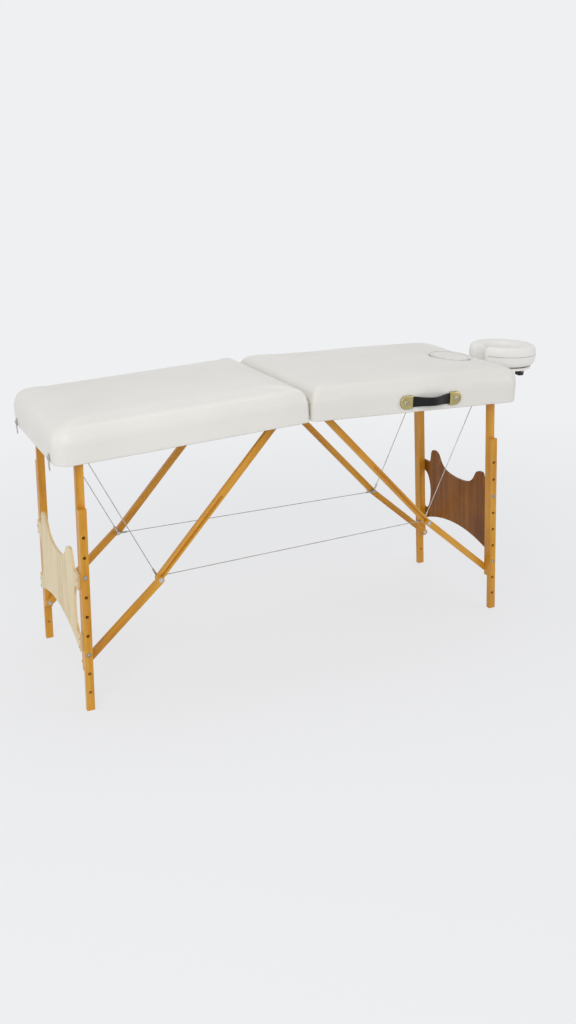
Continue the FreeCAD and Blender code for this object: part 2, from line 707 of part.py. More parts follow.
def lower_brace(half, row):
    """Pivots on the inner face of the leg; the knuckle bolt's head is sunk in it."""
    sign = y_sign(half, row)
    outer = lower_brace_outer(half)
    inner = f"{outer} - brace_thickness"
    length = f"{distance(FOOT_PIVOT, KNUCKLE):.3f}"
    bores = [pin(sign, ("0", "0"), "0", "deck_width", "brace_bolt + 2 * running_gap"),
             pin(sign, ("0", "0"), "0", f"{inner} + 4.5", "brace_bolt * 2"),
             pin(sign, (length, "0"), "0", "deck_width", "brace_bolt"),
             pin(sign, (length, "0"), f"{outer} - 4.5", "deck_width", "brace_bolt * 2")]
    node(f"{half}_{row}_lower_brace", pointing(half, FOOT_PIVOT, KNUCKLE),
         cut(link(sign, length, inner, outer), *bores))


def knuckle_bolts(half):
    """The bolt turns in the lower brace; its nut is part of the upper brace's set."""
    length = f"{distance(FOOT_PIVOT, KNUCKLE):.3f}"
    outer = lower_brace_outer(half)
    pieces = [fuse(pin(sign, (length, "0"), f"{outer} - brace_thickness", f"{outer} - 0.5", "brace_bolt"),
                   pin(sign, (length, "0"), f"{outer} - 4.5", f"{outer} - 0.5", "brace_bolt * 2"))
              for sign in (-1, 1)]
    node(f"{half}_knuckle_bolts", pointing(half, FOOT_PIVOT, KNUCKLE), *pieces)


def knuckle_nuts(half):
    """Nut and threaded end at the lower end of each upper brace, with the cable's eye on it."""
    at = ("upper_brace_length", "0")
    inner = upper_brace_inner(half)
    pieces = [fuse(pin(sign, at, f"{inner} - 4", inner, "brace_bolt + 6"),
                   pin(sign, at, f"{cable_line(half)} - 3", f"{upper_brace_outer(half)} - 5", "brace_bolt"),
                   pin(sign, at, f"{cable_line(half)} - 5", f"{cable_line(half)} - 2.7", "brace_bolt + 5"))
              for sign in (-1, 1)]
    node(f"{half}_knuckle_nuts", pointing(half, DECK_PIVOT, KNUCKLE), *pieces)


# cables -------------------------------------------------------------------------------------

def cable_line(half):
    """Distance of the cables from the centre line."""
    return f"{upper_brace_inner(half)} - 8"


FERRULE_LENGTH = 24
EYE_REACH = 9            # from the pivot to the crimp


def cable(length, linked, far_crimp):
    """Along x from a pivot: an eye, a crimp, the cable and at the other end the same again if asked.

    linked: the first eye passes through the screw eye's ring instead of going round a bolt.
    The two cables' eyes lie side by side on the knuckle's bolt.
    """
    y = "0"
    near_y = str(EYE_WIRE + EYE_GAP / 2)
    far_y = f"-({near_y})"
    round_bolt = f"brace_bolt / 2 + {EYE_GAP + EYE_WIRE}"
    bolt_eye = VALUE["brace_bolt"] / 2 + EYE_GAP + EYE_WIRE
    far_start = length - EYE_REACH - FERRULE_LENGTH
    span = length - 2 * EYE_REACH if far_crimp else length - EYE_REACH
    pieces = [rod("x", (str(EYE_REACH), y, "0"), f"{span:.3f}", "cable_size"),
              rod("x", (str(EYE_REACH), y, "0"), str(FERRULE_LENGTH), "ferrule_size")]
    if linked:
        middle = 2 * ANCHOR_RING - ANCHOR_WIRE - EYE_WIRE - EYE_GAP
        pieces.append(wire_ring(None, (str(middle), y, "0"), ANCHOR_RING, EYE_WIRE))
    else:
        pieces += [wire_ring((1, 0, 0), ("0", near_y, "0"), bolt_eye, EYE_WIRE),
                   rod("x", (round_bolt, near_y, "0"), f"{EYE_REACH} - {bolt_eye} + 3", str(2 * EYE_WIRE))]
    if far_crimp:
        end = f"{length:.3f}"
        pieces += [rod("x", (f"{far_start:.3f}", y, "0"), str(FERRULE_LENGTH), "ferrule_size"),
                   wire_ring((1, 0, 0), (end, far_y, "0"), bolt_eye, EYE_WIRE),
                   rod("x", (f"{length - EYE_REACH - 3:.3f}", far_y, "0"), f"{EYE_REACH - bolt_eye + 3}",
                       str(2 * EYE_WIRE))]
    return fuse(*pieces)


def short_cables(half):
    """From the deck's end to the knuckle."""
    runs = []
    for sign in (-1, 1):
        run = cable(distance(ANCHOR, KNUCKLE), True, True)
        run.setExpression("Placement.Base.y", cell(f"{sign} * ({cable_line(half)})"))
        runs.append(run)
    node(f"{half}_short_cables", pointing(half, ANCHOR, KNUCKLE), *runs)


def long_cables(half):
    """One half of each cable that joins the left and right knuckles, level above the floor.

    The right legs stand closer together, so both halves run a little sideways and meet midway.
    """
    tilt = math.radians(VALUE["deck_tilt"])
    knuckle_out = KNUCKLE[0] * math.cos(tilt) + KNUCKLE[1] * math.sin(tilt)
    inward = (KNUCKLE[0] - math.cos(tilt), KNUCKLE[1] - math.sin(tilt))
    sideways = outward(half) * (VALUE["left_leg_face"] - VALUE["right_leg_face"]) / 2
    slant = math.degrees(math.atan2(sideways, knuckle_out))
    runs = []
    for sign in (-1, 1):
        run = cable(knuckle_out, False, False)
        run.Placement = turn(sign * slant, (0, 0, 1))
        run.setExpression("Placement.Base.y", cell(f"{sign} * ({cable_line(half)})"))
        runs.append(run)
    node(f"{half}_long_cables", pointing(half, KNUCKLE, inward), *runs)


# handle -------------------------------------------------------------------------------------

def handle_strap():
    """A webbing loop that bows out between its two end plates."""
    reach, bow, thick = (VALUE[name] for name in ("handle_span", "strap_bow", "strap_thickness"))
    body = doc.addObject("PartDesign::Body", "Strap")
    sketch = sketch_on(body, "XY_Plane")
    spot = FreeCAD.Vector
    end = reach / 2 - 6
    knee = (reach - VALUE["handle_plate"]) / 2 - 2
    corners = [spot(knee, -1, 0), spot(end, -1, 0), spot(end, -1 - thick, 0), spot(knee, -1 - thick, 0)]
    mirrored = [spot(-corner.x, corner.y, 0) for corner in corners]
    for run in (corners, mirrored):
        for start, stop in zip(run, run[1:]):
            sketch.addGeometry(Part.LineSegment(start, stop))
    sketch.addGeometry(Part.Arc(mirrored[0], spot(0, -bow + thick, 0), corners[0]))
    sketch.addGeometry(Part.Arc(mirrored[-1], spot(0, -bow, 0), corners[-1]))
    pad(body, sketch, "strap_width")
    body.setExpression("Placement.Base.x", cell("handle_middle"))
    body.setExpression("Placement.Base.y", cell("-deck_width / 2"))
    body.setExpression("Placement.Base.z", cell("handle_height - strap_width / 2"))
    node("handle_strap", half_frame("right"), body)


def handle_plates():
    """Brass end plates with a slot for the strap and a screw in each."""
    pieces = []
    face = "-deck_width / 2"
    for sign in (-1, 1):
        middle = f"handle_middle + {sign} * handle_span / 2"
        plate = block((f"{middle} - handle_plate / 2", "handle_plate"), (f"{face} - 9", "9"),
                      ("handle_height - handle_plate / 2 + 1", "handle_plate - 2"))
        slot_start = f"{middle} - handle_plate / 2 - 1" if sign > 0 else f"{middle} - 10"
        slot = block((slot_start, "handle_plate / 2 + 11"), (f"{face} - 6.5", "6.5"),
                     ("handle_height - strap_width / 2 - 0.5", "strap_width + 1"))
        screw = rod("y", (middle, f"{face} - 10.4", "handle_height"), "1.6", "8")
        pieces += [cut(plate, slot), screw]
    node("handle_plates", half_frame("right"), *pieces)


# latches ------------------------------------------------------------------------------------

HOOK_PIVOT_Z = 16
HOOK_REACH = 30


def latch_post(half, sign):
    """A plate on the end of the table with the left half's rivet or the right half's stud."""
    y = f"{sign} * latch_place"
    height = HOOK_PIVOT_Z if half == "left" else HOOK_REACH - HOOK_PIVOT_Z
    return fuse(block(("half_length", "2"), (f"{y} - 9", "18"), ("4", "24")),
                rod("x", ("half_length + 2", y, str(height)), "5", "5"),
                rod("x", ("half_length + 6.2", y, str(height)), "1.5", "9"))


def latch_hook(row):
    """A flat hook that hangs from its rivet and catches the stud on the other half."""
    y = f"{y_sign('left', row)} * latch_place"
    plate = fuse(block(("half_length + 2.6", "3"), (f"{y} - 6", "12"), (f"{HOOK_PIVOT_Z - HOOK_REACH} - 6",
                 f"{HOOK_REACH} + 6")),
                 rod("x", ("half_length + 2.6", y, str(HOOK_PIVOT_Z)), "3", "14"),
                 rod("x", ("half_length + 2.6", y, f"{HOOK_PIVOT_Z - HOOK_REACH - 6}"), "3", "12"))
    bore = rod("x", ("half_length", y, str(HOOK_PIVOT_Z)), "10", "5 + 2 * running_gap")
    mouth = rod("x", ("half_length", y, f"{HOOK_PIVOT_Z - HOOK_REACH}"), "10", "6")
    throat_start = y if row == "front" else f"{y} - 10"
    throat = block(("half_length", "10"), (throat_start, "10"), (f"{HOOK_PIVOT_Z - HOOK_REACH} - 3", "6"))
    node(f"{row}_latch_hook", half_frame("left"), cut(plate, bore, mouth, throat))


# the head end -------------------------------------------------------------------------------

TILT_X = "half_length + tilt_reach"
FACE_X = "half_length + headrest_reach"


def face_plug():
    plug = oval("face_hole_x", "face_hole_width - 2 * plug_gap", "face_hole_length - 2 * plug_gap",
                BOARD_TOP, "foam_thickness + cover_thickness - 1")
    node("face_hole_plug", half_frame("right"), plug)


CHEEK = 26               # half the distance between the bracket's cheeks


def headrest_posts():
    """Two steel posts, a cross bar, two cheeks and the bolt on which the base tilts."""
    start, bar = f"{RAIL_END} - 25", 14
    posts = [rod("x", (start, f"{sign} * post_place", "post_z"), f"{TILT_X} - ({start})", "post_size")
             for sign in (-1, 1)]
    cross = block((f"{TILT_X} - {bar}", f"{bar} + 4"), ("-post_place - 10", "2 * post_place + 20"),
                  ("post_z - 9", "18"))
    cheeks = []
    for sign in (-1, 1):
        y = f"{sign} * {CHEEK} - 2"
        cheeks.append(fuse(block((f"{TILT_X} - 12", "24"), (y, "4"), ("post_z", "tilt_z - post_z")),
                           rod("y", (TILT_X, y, "tilt_z"), "4", "24")))
    hole = rod("y", (TILT_X, "-60", "tilt_z"), "120", "8")
    axle = fuse(rod("y", (TILT_X, "-post_place - 21", "tilt_z"), f"post_place + 23 + {CHEEK}", "8"),
                rod("y", (TILT_X, f"{CHEEK} + 2", "tilt_z"), "4", "14"))
    node("headrest_posts", half_frame("right"), cut(fuse(cross, *posts, *cheeks), hole), axle)


def headrest_base():
    """A ring of plywood with two lugs between the cheeks."""
    bottom = "headrest_top - headrest_thickness - 8"
    ring = cut(rod("z", (FACE_X, "0", bottom), "8", "headrest_size - 40"),
               rod("z", (FACE_X, "0", f"{bottom} - 1"), "10", "headrest_hole + 20"))
    lugs = []
    for sign in (-1, 1):
        y = f"{sign} * {CHEEK - 8} - 4"
        lug = fuse(block((f"{TILT_X} - 10", "20"), (y, "8"), ("tilt_z", f"{bottom} - tilt_z")),
                   rod("y", (TILT_X, y, "tilt_z"), "8", "20"))
        lugs.append(cut(lug, rod("y", (TILT_X, "-60", "tilt_z"), "120", "8 + 2 * running_gap")))
    node("headrest_base", half_frame("right"), fuse(ring, *lugs))


def headrest_lever():
    """The cam lever that clamps the tilt bolt; it hangs beside the cross bar."""
    y = "-post_place - 20"
    hub = rod("y", (TILT_X, y, "tilt_z"), "8", "20")
    arm = block((f"{TILT_X} - 6", "12"), (y, "7"), ("tilt_z - 56", "56"))
    tip = rod("y", (TILT_X, y, "tilt_z - 56"), "7", "12")
    bore = rod("y", (TILT_X, "-100", "tilt_z"), "200", "8 + 2 * running_gap")
    node("headrest_lever", half_frame("right"), cut(fuse(hub, arm, tip), bore))


def headrest_cushion():
    """A horseshoe ring, open towards the table."""
    body = doc.addObject("PartDesign::Body", "Ring")
    sketch = sketch_on(body, "XZ_Plane")
    inner, outer = "headrest_hole / 2", "headrest_size / 2"
    polygon(sketch, [(inner, "0"), (outer, "0"), (outer, "headrest_thickness"),
                     (inner, "headrest_thickness")])
    ring = body.newObject("PartDesign::Revolution", "Ring")
    ring.Profile = sketch
    ring.ReferenceAxis = (sketch, ["V_Axis"])
    ring.Angle = 360
    doc.recompute()
    round_edges(body, ring, "headrest_thickness * 0.36", lambda box: box.ZLength < 0.01)
    body.setExpression("Placement.Base.x", cell(FACE_X))
    body.setExpression("Placement.Base.z", cell("headrest_top - headrest_thickness"))
    gap = block((f"{FACE_X} - headrest_size", "headrest_size"), ("-21", "42"), ("0", "300"))
    node("headrest_cushion", half_frame("right"), cut(body, gap))


# build --------------------------------------------------------------------------------------

def build_half(half):
    for make in (cover, foam, board, cross_rails, pivot_blocks, frame_hardware, hinge_leaves, end_panel,
                 leg_set_screws, knuckle_bolts, knuckle_nuts, short_cables, long_cables):
        make(half)
    for row in ROWS:
        for make in (side_rail, upper_leg, lower_leg, leg_bolts, upper_brace, lower_brace):
            make(half, row)


def check():
    """Every object recomputed, every sub-part valid."""
    doc.recompute()
    for item in doc.Objects:
        if {"Invalid", "Error"} & set(item.State):
            raise RuntimeError(f"{item.Name} ({item.Label}) failed to recompute: {item.State}")
    for piece in nodes:
        if piece.Shape.isNull() or not piece.Shape.isValid() or not piece.Shape.Solids:
            raise RuntimeError(f"{piece.Label} has no valid solid")


def write_parts():
    os.makedirs("parts", exist_ok=True)
    for piece in nodes:
        piece.Shape.exportStep(f"parts/{piece.Label}.step")
        print(f"{piece.Label}: {len(piece.Shape.Solids)} solid(s), {piece.Shape.Volume / 1000:.1f} cm3")


for half_name in HALVES:
    build_half(half_name)
for make_piece in (hinge_pins, handle_strap, handle_plates, face_plug, headrest_posts, headrest_base,
                   headrest_lever, headrest_cushion):
    make_piece()
for row_name in ROWS:
    latch_hook(row_name)
check()
write_parts()
print(f"{len(nodes)} sub-parts, knuckle at {KNUCKLE}, leg {leg_reach():.1f}")
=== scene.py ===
import math

import bmesh
import bpy
from mathutils import Matrix, Vector
from mathutils.bvhtree import BVHTree


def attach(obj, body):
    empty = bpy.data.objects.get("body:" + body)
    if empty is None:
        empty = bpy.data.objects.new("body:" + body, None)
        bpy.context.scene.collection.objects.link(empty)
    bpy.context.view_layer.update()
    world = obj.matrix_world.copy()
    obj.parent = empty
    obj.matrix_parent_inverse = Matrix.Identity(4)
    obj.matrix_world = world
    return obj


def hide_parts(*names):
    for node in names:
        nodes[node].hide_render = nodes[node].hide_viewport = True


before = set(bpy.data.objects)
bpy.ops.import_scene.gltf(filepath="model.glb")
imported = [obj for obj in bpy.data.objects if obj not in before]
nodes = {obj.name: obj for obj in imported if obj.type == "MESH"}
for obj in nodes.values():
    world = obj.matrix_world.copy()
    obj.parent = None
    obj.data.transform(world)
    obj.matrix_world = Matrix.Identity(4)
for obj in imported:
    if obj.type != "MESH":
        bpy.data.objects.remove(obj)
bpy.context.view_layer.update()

hingeX, deckMiddleY, hingeZ = -0.135, 0.013, 0.872      # the deck's hinge line
tilt = math.radians(2.2)                                # both halves fall away from the hinge


def halfPoint(side, x, y, z):
    # x outward from the hinge along the underside, z up through the deck
    along = x * math.cos(tilt) + z * math.sin(tilt)
    up = -x * math.sin(tilt) + z * math.cos(tilt)
    return Vector((hingeX + side * along, deckMiddleY + y, hingeZ + up))


# helpers for the materials


def join(tree, fromSocket, toSocket):
    tree.links.new(fromSocket, toSocket)


def newMaterial(name):
    material = bpy.data.materials.new(name)
    material.use_nodes = True
    tree = material.node_tree
    return material, tree, tree.nodes["Principled BSDF"]


def addNode(tree, kind, **settings):
    node = tree.nodes.new(kind)
    for key, value in settings.items():
        if key.startswith("in_"):
            node.inputs[key[3:].replace("_", " ")].default_value = value
        else:
            setattr(node, key, value)
    return node


def objectCoords(tree, turned=(0, 0, 0)):
    coords = addNode(tree, "ShaderNodeTexCoord")
    mapping = addNode(tree, "ShaderNodeMapping")
    mapping.inputs["Rotation"].default_value = turned
    join(tree, coords.outputs["Object"], mapping.inputs["Vector"])
    return mapping.outputs["Vector"]


def noiseOn(tree, vector, scale, detail=3.0, roughness=0.5):
    node = addNode(tree, "ShaderNodeTexNoise", in_Scale=scale, in_Detail=detail,
                   in_Roughness=roughness)
    join(tree, vector, node.inputs["Vector"])
    return node.outputs["Fac"]


def ramp(tree, factor, stops):
    node = addNode(tree, "ShaderNodeValToRGB")
    while len(node.color_ramp.elements) < len(stops):
        node.color_ramp.elements.new(0.5)
    for element, (place, colour) in zip(node.color_ramp.elements, stops):
        element.position = place
        element.color = (*colour, 1)
    join(tree, factor, node.inputs["Fac"])
    return node.outputs["Color"]


def spread(tree, factor, low, high):
    node = addNode(tree, "ShaderNodeMapRange")
    node.inputs["To Min"].default_value = low
    node.inputs["To Max"].default_value = high
    join(tree, factor, node.inputs["Value"])
    return node.outputs["Result"]


def bumpFrom(tree, shader, heights):
    # heights: [(factor socket, strength, distance in metres)], the coarsest first
    normal = None
    for factor, strength, distance in heights:
        bump = addNode(tree, "ShaderNodeBump", in_Strength=strength, in_Distance=distance)
        join(tree, factor, bump.inputs["Height"])
        if normal is not None:
            join(tree, normal, bump.inputs["Normal"])
        normal = bump.outputs["Normal"]
    join(tree, normal, shader.inputs["Normal"])


def srgb(red, green, blue):
    # a colour from 0 to 255 as the linear values that the sockets take
    shares = [value / 255 for value in (red, green, blue)]
    return tuple(((c + 0.055) / 1.055) ** 2.4 if c > 0.04045 else c / 12.92 for c in shares)


# leather, wood and metals


def leatherMaterial(name, base, shade, shine=0.45):
    material, tree, shader = newMaterial(name)
    coords = objectCoords(tree)
    clouds = noiseOn(tree, coords, 3.0, 2.0)
    join(tree, ramp(tree, clouds, [(0.3, shade), (0.7, base)]), shader.inputs["Base Color"])
    pebbles = addNode(tree, "ShaderNodeTexVoronoi", feature="DISTANCE_TO_EDGE", in_Scale=520.0)
    warp = addNode(tree, "ShaderNodeVectorMath", operation="ADD")
    warpNoise = addNode(tree, "ShaderNodeTexNoise", in_Scale=90.0, in_Detail=2.0)
    shrink = addNode(tree, "ShaderNodeVectorMath", operation="SCALE")
    shrink.inputs["Scale"].default_value = 0.004
    join(tree, coords, warpNoise.inputs["Vector"])
    join(tree, warpNoise.outputs["Color"], shrink.inputs[0])
    join(tree, coords, warp.inputs[0])
    join(tree, shrink.outputs[0], warp.inputs[1])
    join(tree, warp.outputs[0], pebbles.inputs["Vector"])
    creases = noiseOn(tree, coords, 14.0, 4.0, 0.6)
    fine = noiseOn(tree, coords, 900.0, 2.0)
    rubbed = noiseOn(tree, coords, 30.0, 3.0)
    join(tree, spread(tree, rubbed, 0.36, 0.52), shader.inputs["Roughness"])
    bumpFrom(tree, shader, [(creases, 0.10, 0.004), (pebbles.outputs["Distance"], 0.18, 0.0005),
                            (fine, 0.10, 0.0002)])
    shader.inputs["Specular IOR Level"].default_value = shine
    shader.inputs["Coat Weight"].default_value = shine * 0.25
    shader.inputs["Coat Roughness"].default_value = 0.35
    return material


def woodMaterial(name, pale, middle, dark, along="z", lean=0.0, gloss=0.32, contrast=1.0,
                 varnish=0.16):
    # along: the grain's axis; lean: degrees about Y for pieces that stand at an angle
    material, tree, shader = newMaterial(name)
    turned = objectCoords(tree, turned=(0, math.radians(lean), 0))
    stretch = {"x": (0.06, 1.0, 1.0), "y": (1.0, 0.06, 1.0), "z": (1.0, 1.0, 0.06)}[along]
    mapping = addNode(tree, "ShaderNodeMapping")
    mapping.inputs["Scale"].default_value = stretch
    join(tree, turned, mapping.inputs["Vector"])
    grain = mapping.outputs["Vector"]
    figure = addNode(tree, "ShaderNodeTexNoise", in_Scale=34.0, in_Detail=4.0, in_Roughness=0.55,
                     in_Distortion=0.8)
    join(tree, grain, figure.inputs["Vector"])
    fibres = noiseOn(tree, grain, 520.0, 3.0, 0.65)
    pores = noiseOn(tree, grain, 1500.0, 1.0)
    blotches = noiseOn(tree, turned, 5.0, 2.0)
    total = None
    for source, weight in ((figure.outputs["Fac"], 0.46), (fibres, 0.30), (blotches, 0.24)):
        step = addNode(tree, "ShaderNodeMath", operation="MULTIPLY_ADD")
        step.inputs[1].default_value = weight
        step.inputs[2].default_value = 0.0
        join(tree, source, step.inputs[0])
        if total is not None:
            join(tree, total, step.inputs[2])
        total = step.outputs[0]
    reach = 0.17 / contrast
    join(tree, ramp(tree, total, [(0.5 - reach, dark), (0.5, middle), (0.5 + reach, pale)]),
                   shader.inputs["Base Color"])
    join(tree, spread(tree, fibres, gloss - 0.04, gloss + 0.12), shader.inputs["Roughness"])
    bumpFrom(tree, shader, [(figure.outputs["Fac"], 0.05, 0.0006), (fibres, 0.07, 0.0002),
                            (pores, 0.03, 0.0001)])
    shader.inputs["Coat Weight"].default_value = varnish
    shader.inputs["Coat Roughness"].default_value = 0.2
    shader.inputs["Specular IOR Level"].default_value = 0.15 + varnish
    return material


def metalMaterial(name, colour, roughness, metallic=1.0):
    material, tree, shader = newMaterial(name)
    coords = objectCoords(tree)
    streaks = noiseOn(tree, coords, 600.0, 4.0, 0.7)
    tarnish = noiseOn(tree, coords, 38.0, 4.0)
    darker = tuple(c * 0.72 for c in colour)
    join(tree, ramp(tree, tarnish, [(0.32, darker), (0.66, colour)]), shader.inputs["Base Color"])
    join(tree, spread(tree, tarnish, roughness + 0.10, roughness - 0.05), shader.inputs["Roughness"])
    bumpFrom(tree, shader, [(streaks, 0.06, 0.0002)])
    shader.inputs["Metallic"].default_value = metallic
    return material


def paint(nodeNames, material):
    for name in nodeNames:
        data = nodes[name].data
        data.materials.clear()
        data.materials.append(material)


halves, rows = ("left", "right"), ("front", "back")
sideOf = {"left": -1, "right": 1}

woods = {
    "amber": (srgb(224, 168, 66), srgb(208, 146, 38), srgb(176, 112, 20)),
    "birch": (srgb(240, 222, 182), srgb(230, 210, 164), srgb(208, 182, 132)),
    "brown": (srgb(154, 98, 28), srgb(124, 72, 10), srgb(90, 48, 4)),
}
leanOf = {"leg": 2.6, "upperBrace": 42.8, "lowerBrace": 48.9, "rail": 2.2}   # degrees

ivory = leatherMaterial("ivoryLeather", srgb(234, 232, 225), srgb(229, 226, 218))
ivoryFace = leatherMaterial("ivoryFaceCushion", srgb(240, 238, 233), srgb(234, 231, 225))
steel = metalMaterial("zincSteel", (0.62, 0.61, 0.58), 0.34)
brass = metalMaterial("agedBrass", srgb(188, 174, 122), 0.26)
blackSteel = metalMaterial("blackSteel", (0.022, 0.021, 0.020), 0.42, metallic=0.3)
wire = metalMaterial("cableWire", (0.55, 0.54, 0.52), 0.36)

for half in halves:
    s = sideOf[half]
    upright = woodMaterial(f"{half}LegWood", *woods["amber"], "z", s * leanOf["leg"])
    upper = woodMaterial(f"{half}UpperBraceWood", *woods["amber"], "z", s * leanOf["upperBrace"])
    lower = woodMaterial(f"{half}LowerBraceWood", *woods["amber"], "z", s * leanOf["lowerBrace"])
    rail = woodMaterial(f"{half}RailWood", *woods["birch"], "x", s * leanOf["rail"], gloss=0.42)
    panelTone = "birch" if half == "left" else "brown"
    panel = woodMaterial(f"{half}PanelWood", *woods[panelTone], "z", s * leanOf["leg"],
                         contrast=1.25, varnish=0.06)
    for row in rows:
        paint([f"{half}_{row}_upper_leg", f"{half}_{row}_lower_leg"], upright)
        paint([f"{half}_{row}_upper_brace"], upper)
        paint([f"{half}_{row}_lower_brace"], lower)
        paint([f"{half}_{row}_rail"], rail)
        paint([f"{half}_{row}_leg_bolts"], steel)
    paint([f"{half}_end_panel"], panel)
    paint([f"{half}_cross_rails", f"{half}_pivot_blocks", f"{half}_board"], rail)
    paint([f"{half}_frame_hardware", f"{half}_hinge_leaves", f"{half}_leg_set_screws",
           f"{half}_knuckle_bolts", f"{half}_knuckle_nuts"], steel)
    paint([f"{half}_short_cables", f"{half}_long_cables"], wire)
paint(["hinge_pins"], steel)
paint(["front_latch_hook", "back_latch_hook"], steel)
paint(["headrest_posts", "headrest_lever"], blackSteel)
paint(["headrest_base"], ivoryFace)
print("materials on the CAD nodes done")


# helpers for the meshes


def linkNew(name, mesh, material=None):
    piece = bpy.data.objects.new(name, mesh)
    bpy.context.collection.objects.link(piece)
    if material:
        mesh.materials.clear()
        mesh.materials.append(material)
    return piece


def meshFrom(name, build):
    work = bmesh.new()
    build(work)
    bmesh.ops.remove_doubles(work, verts=work.verts, dist=0.00001)
    bmesh.ops.recalc_face_normals(work, faces=work.faces)
    mesh = bpy.data.meshes.new(name)
    work.to_mesh(mesh)
    work.free()
    return mesh


def stackRings(work, rings):
    # rings: lists of points with equal counts; the first and the last are filled
    loops = [[work.verts.new(point) for point in ring] for ring in rings]
    for lower, upper in zip(loops, loops[1:]):
        count = len(lower)
        for i in range(count):
            work.faces.new((lower[i], lower[(i + 1) % count], upper[(i + 1) % count], upper[i]))
    work.faces.new(list(reversed(loops[0])))
    work.faces.new(loops[-1])


def rounded(value, power):
    # bends a circle towards a square as the power falls below 1
    return math.copysign(abs(value) ** power, value)


def applyModifiers(piece):
    depsgraph = bpy.context.evaluated_depsgraph_get()
    mesh = bpy.data.meshes.new_from_object(piece.evaluated_get(depsgraph))
    piece.modifiers.clear()
    old = piece.data
    piece.data = mesh
    bpy.data.meshes.remove(old)


def faceOutward(piece):
    work = bmesh.new()
    work.from_mesh(piece.data)
    bmesh.ops.recalc_face_normals(work, faces=work.faces)
    work.to_mesh(piece.data)
    work.free()


# padded pieces

filling = {"frames": 20, "pressure": 4.0, "quality": 4, "relaxRounds": 3}


def remesh(piece, voxel):
    modifier = piece.modifiers.new("even", "REMESH")
    modifier.mode = "VOXEL"
    modifier.voxel_size = voxel
    modifier.use_smooth_shade = True
    applyModifiers(piece)
    work = bmesh.new()
    work.from_mesh(piece.data)
    for _ in range(filling["relaxRounds"]):
        bmesh.ops.smooth_vert(work, verts=work.verts, factor=0.5,
                              use_axis_x=True, use_axis_y=True, use_axis_z=True)
    work.to_mesh(piece.data)
    work.free()


def puff(piece, held, cap, sideways=1.0):
    # swells the pad with cloth under pressure; held(point) is 1 where it stays on its board
    before = [vertex.co.copy() for vertex in piece.data.vertices]
    group = piece.vertex_groups.new(name="held")
    for vertex in piece.data.vertices:
        weight = held(vertex.co)
        if weight > 0:
            group.add([vertex.index], weight, "REPLACE")
    cloth = piece.modifiers.new("filling", "CLOTH")
    cloth.settings.use_pressure = True
    cloth.settings.uniform_pressure_force = filling["pressure"]
    cloth.settings.vertex_group_mass = "held"
    cloth.settings.effector_weights.gravity = 0.0
    cloth.settings.quality = filling["quality"]
    cloth.collision_settings.use_collision = False
    cloth.point_cache.frame_start, cloth.point_cache.frame_end = 1, filling["frames"]
    for step in range(1, filling["frames"] + 1):
        bpy.context.scene.frame_set(step)
    applyModifiers(piece)
    bpy.context.scene.frame_set(1)
    for vertex, start in zip(piece.data.vertices, before):
        move = vertex.co - start
        if move.length > 1e-7:
            move = move.normalized() * cap * math.tanh(move.length / cap)
            vertex.co = start + Vector((move.x * sideways, move.y * sideways, move.z))
    piece.vertex_groups.clear()


def finishSmooth(piece, thickness=0.0):
    if thickness:
        shell = piece.modifiers.new("skin", "SOLIDIFY")
        shell.thickness = thickness
        shell.offset = -1
    modifier = piece.modifiers.new("smooth", "SUBSURF")
    modifier.levels = modifier.render_levels = 1
    applyModifiers(piece)
    for polygon in piece.data.polygons:
        polygon.use_smooth = True


def outline(near, far, width, nearRound, farRound, inset, steps=10):
    # a deck section seen from above: x from near to far, rounded at each corner
    near, far, width = near + inset, far - inset, width - inset
    points = []
    for cx, cy, start, radius in ((far, width, 0, farRound), (near, width, 90, nearRound),
                                  (near, -width, 180, nearRound), (far, -width, 270, farRound)):
        radius = max(radius - inset, 0.004)
        inX = -radius if cx > (near + far) / 2 else radius
        inY = -radius if cy > 0 else radius
        for i in range(steps + 1):
            angle = math.radians(start + 90 * i / steps)
            points.append((cx + inX + radius * math.cos(angle), cy + inY + radius * math.sin(angle)))
    return points


deckPad = {"near": 0.003, "far": 0.850, "halfWidth": 0.320, "top": 0.1185, "boardTop": 0.061,
           "nearRound": 0.017, "farRound": 0.060, "edgeRound": 0.036, "edgeTall": 0.044,
           "edgeInset": 0.0014,
           "skirtTops": (0.0, 0.030, 0.058), "tightBelow": 0.068, "freeFrom": 0.088, "fade": 0.030,
           "voxel": 0.0085, "cap": 0.0065, "sideways": 0.4, "leather": 0.0016, "fill": 0.85}
faceHole = {"x": 0.745, "halfLength": 0.065, "halfWidth": 0.095, "cut": 1.01, "wall": 1.006,
            "ledge": 0.012, "rim": 0.010}


def ovalShare(x, y, grow=0.0):
    # below 1 inside the face hole
    alongShare = (x - faceHole["x"]) / (faceHole["halfLength"] + grow)
    acrossShare = y / (faceHole["halfWidth"] + grow)
    return alongShare ** 2 + acrossShare ** 2


def ontoSkirt(point, out):
    # the leather is pulled tight over the rails, so its sides stand on the section's outline
    size = deckPad
    radius = size["farRound"] if point.x > 0.4 else size["nearRound"]
    coreX = min(max(point.x, size["near"] + radius), size["far"] - radius)
    coreY = min(max(point.y, radius - size["halfWidth"]), size["halfWidth"] - radius)
    away = Vector((point.x - coreX, point.y - coreY, 0))
    if away.length > radius * 0.5:
        away = away.normalized() * (radius - out)
        point.x, point.y = coreX + away.x, coreY + away.y


def placeOnHalf(piece, side):
    for vertex in piece.data.vertices:
        vertex.co = halfPoint(side, *vertex.co)
    if side < 0:
        piece.data.flip_normals()


